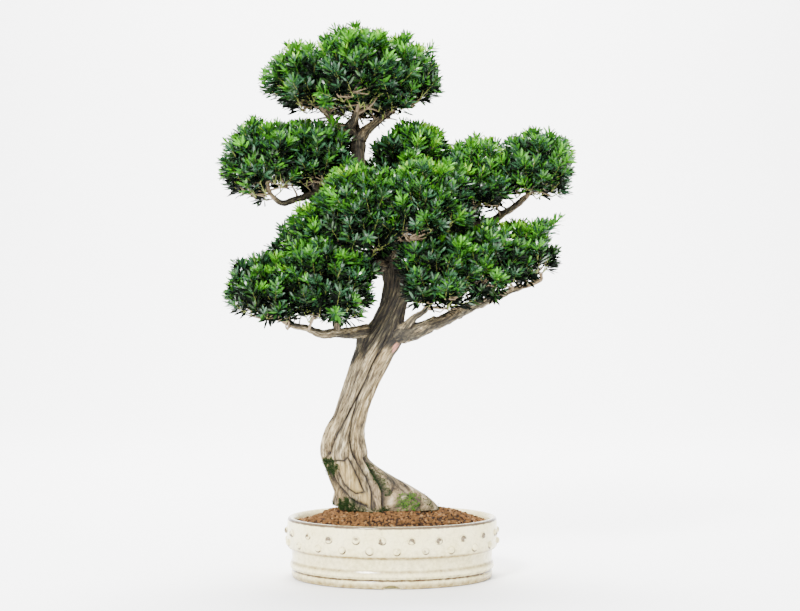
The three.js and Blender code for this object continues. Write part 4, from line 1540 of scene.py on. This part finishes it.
def tubes(line: Array, thick: Array, thin: Array, sides: int, rings: int) -> Surface:
    """Make many tapering twigs at once, each on a curve from its start past its bend to its end.

    Args:
        line: start, bend and end of each twig.
        thick: half-thickness at the start.
        thin: half-thickness at the tip.
        sides: points in a ring.
        rings: rings along a twig.

    Returns:
        All the twigs as one surface.
    """
    start, bend, end = (line[:, at, None] for at in range(3))
    share = np.linspace(0, 1, rings)
    middle = bent(share[None, :, None], start, bend, end)
    along = unit(np.gradient(middle, axis=1))
    helper = square_to(unit(end - start))[0]
    first = unit(helper - (helper * along).sum(-1, keepdims=True) * along)[:, :, None]
    radius = thick[:, None] + (thin - thick)[:, None] * share[None, :]
    ring = around(turns(sides), first, np.cross(along[:, :, None], first))
    points = middle[:, :, None] + radius[:, :, None, None] * ring
    return Surface(points.reshape(-1, 3), [repeated(ring_faces(rings, sides), len(line), rings * sides)], {})


@dataclass(frozen=True)
class Layer:
    """A layer of leafy shoots: how far apart and how far out their feet lie, and what grows there."""

    spacing: float
    shell: tuple[float, float]
    shoots: int
    length: tuple[float, float]
    leaves: int
    youth_and_light: float


@dataclass
class Shoots:
    """Leafy shoots: foot and tip of each, how young and how lit it looks from 0 to 1, which paints light and
    shade in its leaves' tint, and the places where they start.
    """

    feet: Array
    tips: Array
    youth_and_light: Array
    nodes: Array


# Share of the length, widths to the side and lift in widths of a leaf's points, and its four faces
LEAF_POINTS = np.array(
    [(0, 0, 0), (0.36, 0.5, 0.1), (0.8, 0.42, -0.1), (1, 0, 0), (0.8, -0.42, 0.1), (0.36, -0.5, -0.1)]
)
LEAF_FACES = np.array([[1, 0, 5], [2, 1, 5], [2, 5, 4], [3, 2, 4]])


@dataclass
class Foliage:
    """Twigs and leaves of all the clouds, grown by the construction's rule and carried to finer twigs."""

    outer: Layer = Layer(14.6, (0.3, 0.68), 2, (26, 46), 30, 1.0)
    # The inner layer's low youth and light paints its leaves dark, as painted shade inside the crown
    inner: Layer = Layer(15.0, (0.06, 0.36), 2, (18, 30), 18, 0.14)
    # How much further out feet may lie on the underside, since shoots grow up from there
    low_feet: float = 0.24
    # How far the foliage comes down below the slope that rises from the limbs, and its room round them
    underside: float = -13.0
    limb_room: float = 7.0
    tip_room: float = 6.0
    # Weights of outward, away from the limbs, up and chance in where a place's shoots head
    heading: tuple[float, float, float, float] = (0.24, 0.55, 0.6, 0.14)
    # Degrees by which a place's shoots lean apart, how strongly they turn up, and the shortest that is kept
    lean: tuple[float, float] = (6, 28)
    turn_up: float = 0.12
    shortest: float = 14.0
    # How far out tips may lie, how much chance and the underside change that, and how many shoots are free to
    # reach further and by how much
    limit: tuple[float, float] = (0.7, 0.96)
    uneven: tuple[float, float] = (0.09, 0.04)
    free_share: float = 0.1
    free_reach: float = 0.11
    # Painted light in the youth: for all shoots, more for those that face up, by slow chance, and for each mm
    # above the middle height
    light: tuple[float, float, float, float] = (0.34, 0.2, 0.1, 0.0004)
    middle_height: float = 430.0
    # Painted shade beside the trunk: how much youth and light it takes, its spread, and the height up to
    # which it falls
    shade: tuple[float, float, float] = (0.26, 46.0, 560.0)
    # Spread of the youth by chance, and how much more how many shoots have that are flushed with new growth
    chance: float = 0.12
    flush: tuple[float, float] = (0.25, 0.16)
    least_youth_and_light: float = 0.04
    long_youth_and_light: float = 0.55
    # Youth and light from which a leaf takes the next tint, from painted shade to young and lit
    ages: tuple[float, ...] = (0.1, 0.22, 0.39, 0.59, 0.82)
    leaf_length: float = 16.0
    leaf_width: float = 2.9
    leaf_roll: float = 0.55
    # Degrees that leaves stand off the shoot at its foot, and by how much less at its tip
    opening: tuple[float, float] = (62.0, 26.0)
    # How much younger leaves get along the shoot, from where they have its own youth, and their spread; the
    # older leaves at the foot are darker, partly as painted shade
    leaf_youth_and_shade: tuple[float, float, float] = (0.6, 0.8, 0.1)
    # Spacing, furthest share of the way out, half-thickness and sides of the twigs that branch from the limbs
    levels: tuple[tuple[float, float, float, int], ...] = ((42.0, 0.4, 2.1, 6), (25.0, 0.6, 1.4, 5))
    foot_twig: float = 1.05
    shoot_twig: float = 0.9
    # Half-thickness that a twig gains for each mm of its length, and what is left of it at its tip
    long_twig: float = 0.022
    twig_taper: float = 0.68
    hub_share: float = 0.35
    # The part of the trunk that stands in the crown
    trunk_span: tuple[float, float] = (300.0, 546.0)
    seed: int = 1234

    def own(self, cloud: Cloud, places: Array) -> Array:
        """Say which places are the cloud's own: least far out in it, and above its underside.

        Args:
            cloud: the cloud.
            places: places to test.

        Returns:
            True for the cloud's own places.
        """
        here = cloud.far_out(places)
        inside = np.all([here < other.far_out(places) for other in CLOUDS if other is not cloud], axis=0)
        return inside & (cloud.fan(places)[0] > self.underside)

    def lattice(self, cloud: Cloud, spacing: float, shell: Numbers, rng: np.random.Generator) -> Array:
        """Spread places through a shell of a cloud, on a lattice whose points chance moves.

        Args:
            cloud: the cloud.
            spacing: the lattice's step.
            shell: how far out the places lie, which a slow noise of an eighth makes uneven.
            rng: the random numbers.

        Returns:
            One place in each row.
        """
        axes = [np.arange(low, high, spacing) for low, high in zip(*cloud.box())]
        places = np.stack(np.meshgrid(*axes, indexing="ij"), -1).reshape(-1, 3)
        places = places + rng.uniform(-0.48, 0.48, places.shape) * spacing
        far = cloud.far_out(places) * (1 + 0.13 * lattice_noise(places / 26, 500))
        furthest = shell[1] + self.low_feet * np.clip(-cloud.outward(places)[:, 2], 0, 1)
        places = places[(far > shell[0]) & (far < furthest)]
        return places[self.own(cloud, places)]

    def limb_places(self) -> Array:
        """List places along every limb and the trunk, each with the half-thickness there.

        Returns:
            Place and half-thickness in each row.
        """
        lines = [(line, limb.radius(share)) for limb in LIMBS for line, share in [limb.line(4.0)]]
        heights = np.arange(*self.trunk_span, 4.0)
        column = Trunk().column(heights)
        lines.append((np.column_stack([column[:, :2], heights]), column[:, 2]))
        return np.concatenate([np.column_stack(pair) for pair in lines])

    def room(self, places: Array, limbs: Array) -> Array:
        """Measure how far places are from the bark of the nearest limb."""
        return (np.linalg.norm(places[..., None, :] - limbs[:, :3], axis=-1) - limbs[:, 3]).min(axis=-1)

    def youth_and_light(self, nodes: Array, facing_up: Array, shape: Numbers, rng: np.random.Generator) -> Array:
        """Say how young and how lit shoots look: lighter where they face up and high in the tree, as painted
        light, and darker beside the trunk, as painted shade.

        Args:
            nodes: the places that they start from.
            facing_up: how far up each place's outward direction points.
            shape: places, and shoots to a place.
            rng: the random numbers.

        Returns:
            From 0 to 1, by place and shoot.
        """
        usual, upward, patchy, high = self.light
        light = usual + upward * facing_up + patchy * lattice_noise(nodes / 24, 640)
        light = light + high * (nodes[:, 2] - self.middle_height)
        column = Trunk().column(np.clip(nodes[:, 2], *self.trunk_span))
        beside = np.hypot(nodes[:, 0] - column[:, 0], nodes[:, 1] - column[:, 1])
        dark, spread, top = self.shade
        light = light - dark * bell(beside / spread) * (nodes[:, 2] < top)
        more, often = self.flush
        young_and_lit = light[:, None] + self.chance * rng.normal(size=shape) + more * (rng.random(shape) < often)
        return np.clip(young_and_lit, self.least_youth_and_light, 1)

    def shoots(self, cloud: Cloud, layer: Layer, limbs: Array, rng: np.random.Generator) -> Shoots:
        """Let shoots grow from a layer's places: up, outwards, and away from the limbs.

        The shoots of one place lean apart. Each is shortened until its tip lies within the limit, and a few
        free ones reach further. The outer layer also has the cloud's long shoots.

        Args:
            cloud: the cloud.
            layer: the layer.
            limbs: places and half-thicknesses of the limbs, which shoots keep clear of.
            rng: the random numbers.

        Returns:
            The shoots that stay in the cloud's own space, and the long ones.
        """
        nodes = self.lattice(cloud, layer.spacing, layer.shell, rng)
        nodes = nodes[self.room(nodes, limbs) > self.limb_room]
        outward, fan = cloud.outward(nodes), cloud.fan(nodes)[1]
        ways = (outward, fan, UP, rng.normal(size=nodes.shape))
        axes = unit(sum(weight * way for weight, way in zip(self.heading, ways)))
        side, other = (way[:, None] for way in square_to(axes))
        shape = (len(nodes), layer.shoots)
        turn = 2 * math.pi * (np.arange(layer.shoots)[None] / layer.shoots + rng.random((len(nodes), 1)))
        lean = np.tan(np.radians(rng.uniform(*self.lean, shape)))[..., None]
        heading = unit(axes[:, None] + lean * around(turn, side, other) + self.turn_up * UP)
        length = rng.uniform(*layer.length, shape)
        free = rng.random(shape) < self.free_share * layer.youth_and_light
        by_place, below = self.uneven
        uneven = by_place * lattice_noise(nodes / 22, 720)[:, None] - below * outward[:, 2:]
        limit = rng.uniform(*self.limit, shape) + self.free_reach * free + uneven
        for _ in range(4):
            tips = nodes[:, None] + heading * length[..., None]
            length = np.where(cloud.far_out(tips) > limit, length * 0.84, length)
        tips = nodes[:, None] + heading * length[..., None]
        kept = (length > self.shortest) & (self.room(tips, limbs) > self.tip_room) & self.own(cloud, tips)
        youth_and_light = layer.youth_and_light * self.youth_and_light(nodes, outward[:, 2], shape, rng)
        feet = np.repeat(nodes[:, None], layer.shoots, axis=1)
        long = np.array(cloud.long_shoots if layer is self.outer else (), float).reshape(-1, 2, 3)
        return Shoots(
            np.concatenate([feet[kept], long[:, 0]]),
            np.concatenate([tips[kept], long[:, 1]]),
            np.concatenate([youth_and_light[kept], np.full(len(long), self.long_youth_and_light)]),
            nodes,
        )

    def stem(self, mass: Mass) -> Array:
        """Find start, bend and hub of the stem that grows on from the limb that carries a mass.

        Args:
            mass: the mass.

        Returns:
            The three places.
        """
        way = np.array(mass.carrier().way, float)
        onward = unit(way[-1] - way[-2])
        bend = way[-1] + 10 * onward
        hub = np.array(mass.middle) * (1 - self.hub_share) + bend * self.hub_share
        return np.stack([way[-1] - onward, bend, hub])

    def twigs(self, cloud: Cloud, grown: Sequence[Shoots], rng: np.random.Generator) -> Surface:
        """Grow a cloud's twigs: stems, levels of branches, and the shoots.

        A branch starts at the nearest of the places reached before; those above it count as further off.

        Args:
            cloud: the cloud.
            grown: the shoots of its layers.
            rng: the random numbers.

        Returns:
            The twigs, tinted as grey bark or green shoots.
        """
        made = []
        parents = [cloud.limb_points()[::2]]
        share = np.linspace(0.25, 1, 6)[:, None]
        for mass in cloud.masses:
            stem, thin = self.stem(mass), mass.carrier().thin
            made.append(tubes(stem[None], np.array([thin]), np.array([thin * 0.3]), 8, 8))
            parents.append(bent(share, *stem))
        parents = np.concatenate(parents)
        headings = unit(parents - parents.mean(axis=0)) + UP
        levels = [(self.lattice(cloud, step, (0.0, far), rng), *rest) for step, far, *rest in self.levels]
        levels.append((np.concatenate([layer.nodes for layer in grown]), self.foot_twig, 4))
        for nodes, thick, sides in levels:
            away = nodes[:, None] - parents[None]
            nearest = (np.linalg.norm(away, axis=2) + 1.5 * np.clip(-away[..., 2], 0, None)).argmin(axis=1)
            start = parents[nearest]
            length = np.linalg.norm(nodes - start, axis=1, keepdims=True)
            bend = start + (0.7 * headings[nearest] + 0.3 * rng.normal(size=nodes.shape)) * length * 0.45
            full = thick + self.long_twig * length[:, 0]
            slim = np.full(len(nodes), thick * self.twig_taper)
            made.append(tubes(np.stack([start, bend, nodes], 1), full, slim, sides, 5))
            parents = np.concatenate([parents, nodes])
            headings = np.concatenate([headings, unit(nodes - bend)])
        grey = sum(len(surface.faces[0]) for surface in made)
        for layer in grown:
            slim = np.full(len(layer.feet), self.shoot_twig)
            line = np.stack([layer.feet, (layer.feet + layer.tips) / 2, layer.tips], 1)
            made.append(tubes(line, slim, slim * 0.5, 3, 2))
        twigs = join(made)
        twigs.tints = [(np.arange(sum(len(faces) for faces in twigs.faces)) >= grey).astype(int)]
        return twigs

    def leaves(self, shoots: Shoots, layer: Layer, rng: np.random.Generator) -> Surface:
        """Set leaves round each shoot in a spiral, wide open at its foot and closing in towards its tip.

        Each leaf is a strip of four faces in a blunt lance outline, a little twisted, and its bend drops with
        the square of the way along it. Leaves are older and darker towards the shoot's foot, partly as
        painted shade.

        Args:
            shoots: the shoots.
            layer: their layer.
            rng: the random numbers.

        Returns:
            The leaves, each face with its tint's number.
        """
        number, each = len(shoots.tips), layer.leaves
        at = np.clip(np.linspace(0.22, 1, each)[None, :] + rng.uniform(-0.02, 0.02, (number, each)), 0, 1)
        turn = np.arange(each)[None, :] * GOLDEN_ANGLE + rng.random((number, 1)) * 6.3
        along = shoots.tips - shoots.feet
        axes = unit(along)
        side, other = (way[:, None] for way in square_to(axes))
        wide, closing = self.opening
        opening = np.radians(wide - closing * at**1.5) + rng.uniform(-0.16, 0.16, at.shape)
        axis = axes[:, None]
        heading = around(opening, axis, around(turn, side, other))
        heading = unit(heading + 0.07 * rng.normal(size=heading.shape) + 0.1 * UP)
        root = shoots.feet[:, None] + along[:, None] * at[..., None]
        upper = unit(axis - (axis * heading).sum(-1, keepdims=True) * heading)
        upper = around(self.leaf_roll * rng.normal(size=at.shape), upper, np.cross(heading, upper))
        width_way = np.cross(heading, upper)
        length = self.leaf_length * (1.06 - 0.36 * at**4) * rng.uniform(0.82, 1.12, at.shape)
        slim = 0.55 + 0.45 * length / self.leaf_length
        width = self.leaf_width * rng.uniform(0.85, 1.12, at.shape) * slim
        droop = rng.uniform(-0.06, 0.14, at.shape)
        length, width, droop = (size[..., None] for size in (length, width, droop))
        forward, sideways, lift = LEAF_POINTS.T
        points = (
            root[:, :, None]
            + (forward * length)[..., None] * heading[:, :, None]
            + (sideways * width)[..., None] * width_way[:, :, None]
            + (lift * width - droop * forward**2 * length)[..., None] * upper[:, :, None]
        ).reshape(-1, 3)
        younger, own_at, spread = self.leaf_youth_and_shade
        # Leaves towards the shoot's foot take older, darker tints, partly as painted shade
        leaf_light_and_age = shoots.youth_and_light[:, None] + younger * (at - own_at) + spread * rng.normal(size=at.shape)
        tint = np.searchsorted(np.array(self.ages), np.clip(leaf_light_and_age, 0, 1).ravel())
        faces = repeated(LEAF_FACES, number * each, len(LEAF_POINTS))
        return Surface(points, [faces], {}, [np.repeat(tint, len(LEAF_FACES))])

    def build(self) -> None:
        """Grow every cloud: one piece of leaves, which stands for its masses, and one of twigs."""
        rng = np.random.default_rng(self.seed)
        tints, barks = Leaf.materials(), Twig.materials()
        limbs = self.limb_places()
        layers = (self.outer, self.inner)
        for cloud in CLOUDS:
            grown = [self.shoots(cloud, layer, limbs, rng) for layer in layers]
            leaves = join([self.leaves(part, layer, rng) for part, layer in zip(grown, layers)])
            nodes = [f"foliage_{mass.name}" for mass in cloud.masses]
            dress(leaves.piece(f"leaves_{cloud.name}", tints), nodes)
            dress(self.twigs(cloud, grown, rng).piece(f"twigs_{cloud.name}", barks))


# Studio


@dataclass
class Studio:
    """A pale paper sweep and soft lights, with the camera where the picture was taken from, in metres."""

    camera_place: tuple[float, float, float] = (0.010, -2.0, 0.338)
    lens_mm: float = 72.0
    sensor_mm: float = 36.0
    sweep_width: float = 9.0
    sweep_front: float = -3.2
    sweep_back: float = 2.4
    sweep_height: float = 4.5
    sweep_bend: float = 1.2
    paper: PlainFinish = PlainFinish("studio_paper", "#fafafa", 0.9, 0.1)
    # Name, place, aim, size and watts of each soft light
    lights: tuple[tuple[str, Numbers, Numbers, float, float], ...] = (
        ("key_light", (-1.0, -2.1, 1.9), (0, 0, 0.4), 0.6, 230),
        ("fill_light", (1.8, -1.8, 1.0), (0, 0, 0.35), 1.6, 35),
        ("top_light", (0.1, 0.3, 2.6), (0, 0, 0.3), 1.4, 90),
        ("backdrop_light", (0.0, 1.2, 3.2), (0, 3.2, 0.6), 1.8, 600),
    )

    def sweep(self) -> None:
        """Make the sweep: a floor, a quarter circle up and a wall, carried straight across."""
        turn = np.linspace(0, math.pi / 2, 24)
        bend_y = self.sweep_back + self.sweep_bend * np.sin(turn)
        bend_z = self.sweep_bend * (1 - np.cos(turn))
        y = np.concatenate([[self.sweep_front], bend_y, [self.sweep_back + self.sweep_bend]])
        z = np.concatenate([[0.0], bend_z, [self.sweep_height]])
        x = np.array([-self.sweep_width / 2, self.sweep_width / 2])
        points = np.stack([np.tile(x, len(y)), np.repeat(y, 2), np.repeat(z, 2)], axis=1)
        faces = ring_faces(len(y), 2, closed_round=False)
        made = Surface(points / MM, [faces], {}).piece("studio_sweep", [self.paper.material()])

    def place(self, name: str, data: bpy.types.ID, where: Numbers, turned: Numbers) -> bpy.types.Object:
        """Put a light or the camera in its place, turned by angles round x, y and z.

        Args:
            name: its name.
            data: the light or the camera.
            where: its place.
            turned: its turns round x, y and z, in radians.

        Returns:
            The new object.
        """
        made = bpy.data.objects.new(name, data)
        made.location = where
        made.rotation_euler = turned
        bpy.context.scene.collection.objects.link(made)
        return made

    def light(self, name: str, where: Numbers, aim: Numbers, size: float, watts: float) -> None:
        """Hang a square soft light and turn it towards what it lights.

        Args:
            name: its name.
            where: its place.
            aim: the place that it faces.
            size: its side.
            watts: its power.
        """
        lamp = bpy.data.lights.new(name, "AREA")
        lamp.shape = "SQUARE"
        lamp.size = size
        lamp.energy = watts
        x, y, z = np.array(where) - np.array(aim)
        self.place(name, lamp, where, (math.atan2(math.hypot(x, y), z), 0.0, math.atan2(x, -y)))

    def camera(self) -> None:
        """Set the camera up, level and looking straight back."""
        data = bpy.data.cameras.new("photo_camera")
        data.lens = self.lens_mm
        data.sensor_width = self.sensor_mm
        made = self.place("photo_camera", data, self.camera_place, (math.pi / 2, 0.0, 0.0))
        bpy.context.scene.camera = made

    def build(self) -> None:
        """Set up sweep, lights, even surrounding light and camera."""
        self.sweep()
        for light in self.lights:
            self.light(*light)
        world = bpy.data.worlds.new("studio_air")
        world.use_nodes = True
        background = world.node_tree.nodes["Background"]
        background.inputs["Color"].default_value = (1, 1, 1, 1)
        background.inputs["Strength"].default_value = 1.0
        bpy.context.scene.world = world
        self.camera()


def main() -> None:
    """Build the bonsai from the pot up, then the studio."""
    logging.basicConfig(level=logging.INFO, format="%(message)s")
    Studio().build()
    Pot().build(CrackleGlaze())
    Soil().build()
    bark = WeatheredWood().material()
    Trunk().build(bark)
    Boughs().build(bark)
    Foliage().build()


if __name__ == "__main__":
    main()
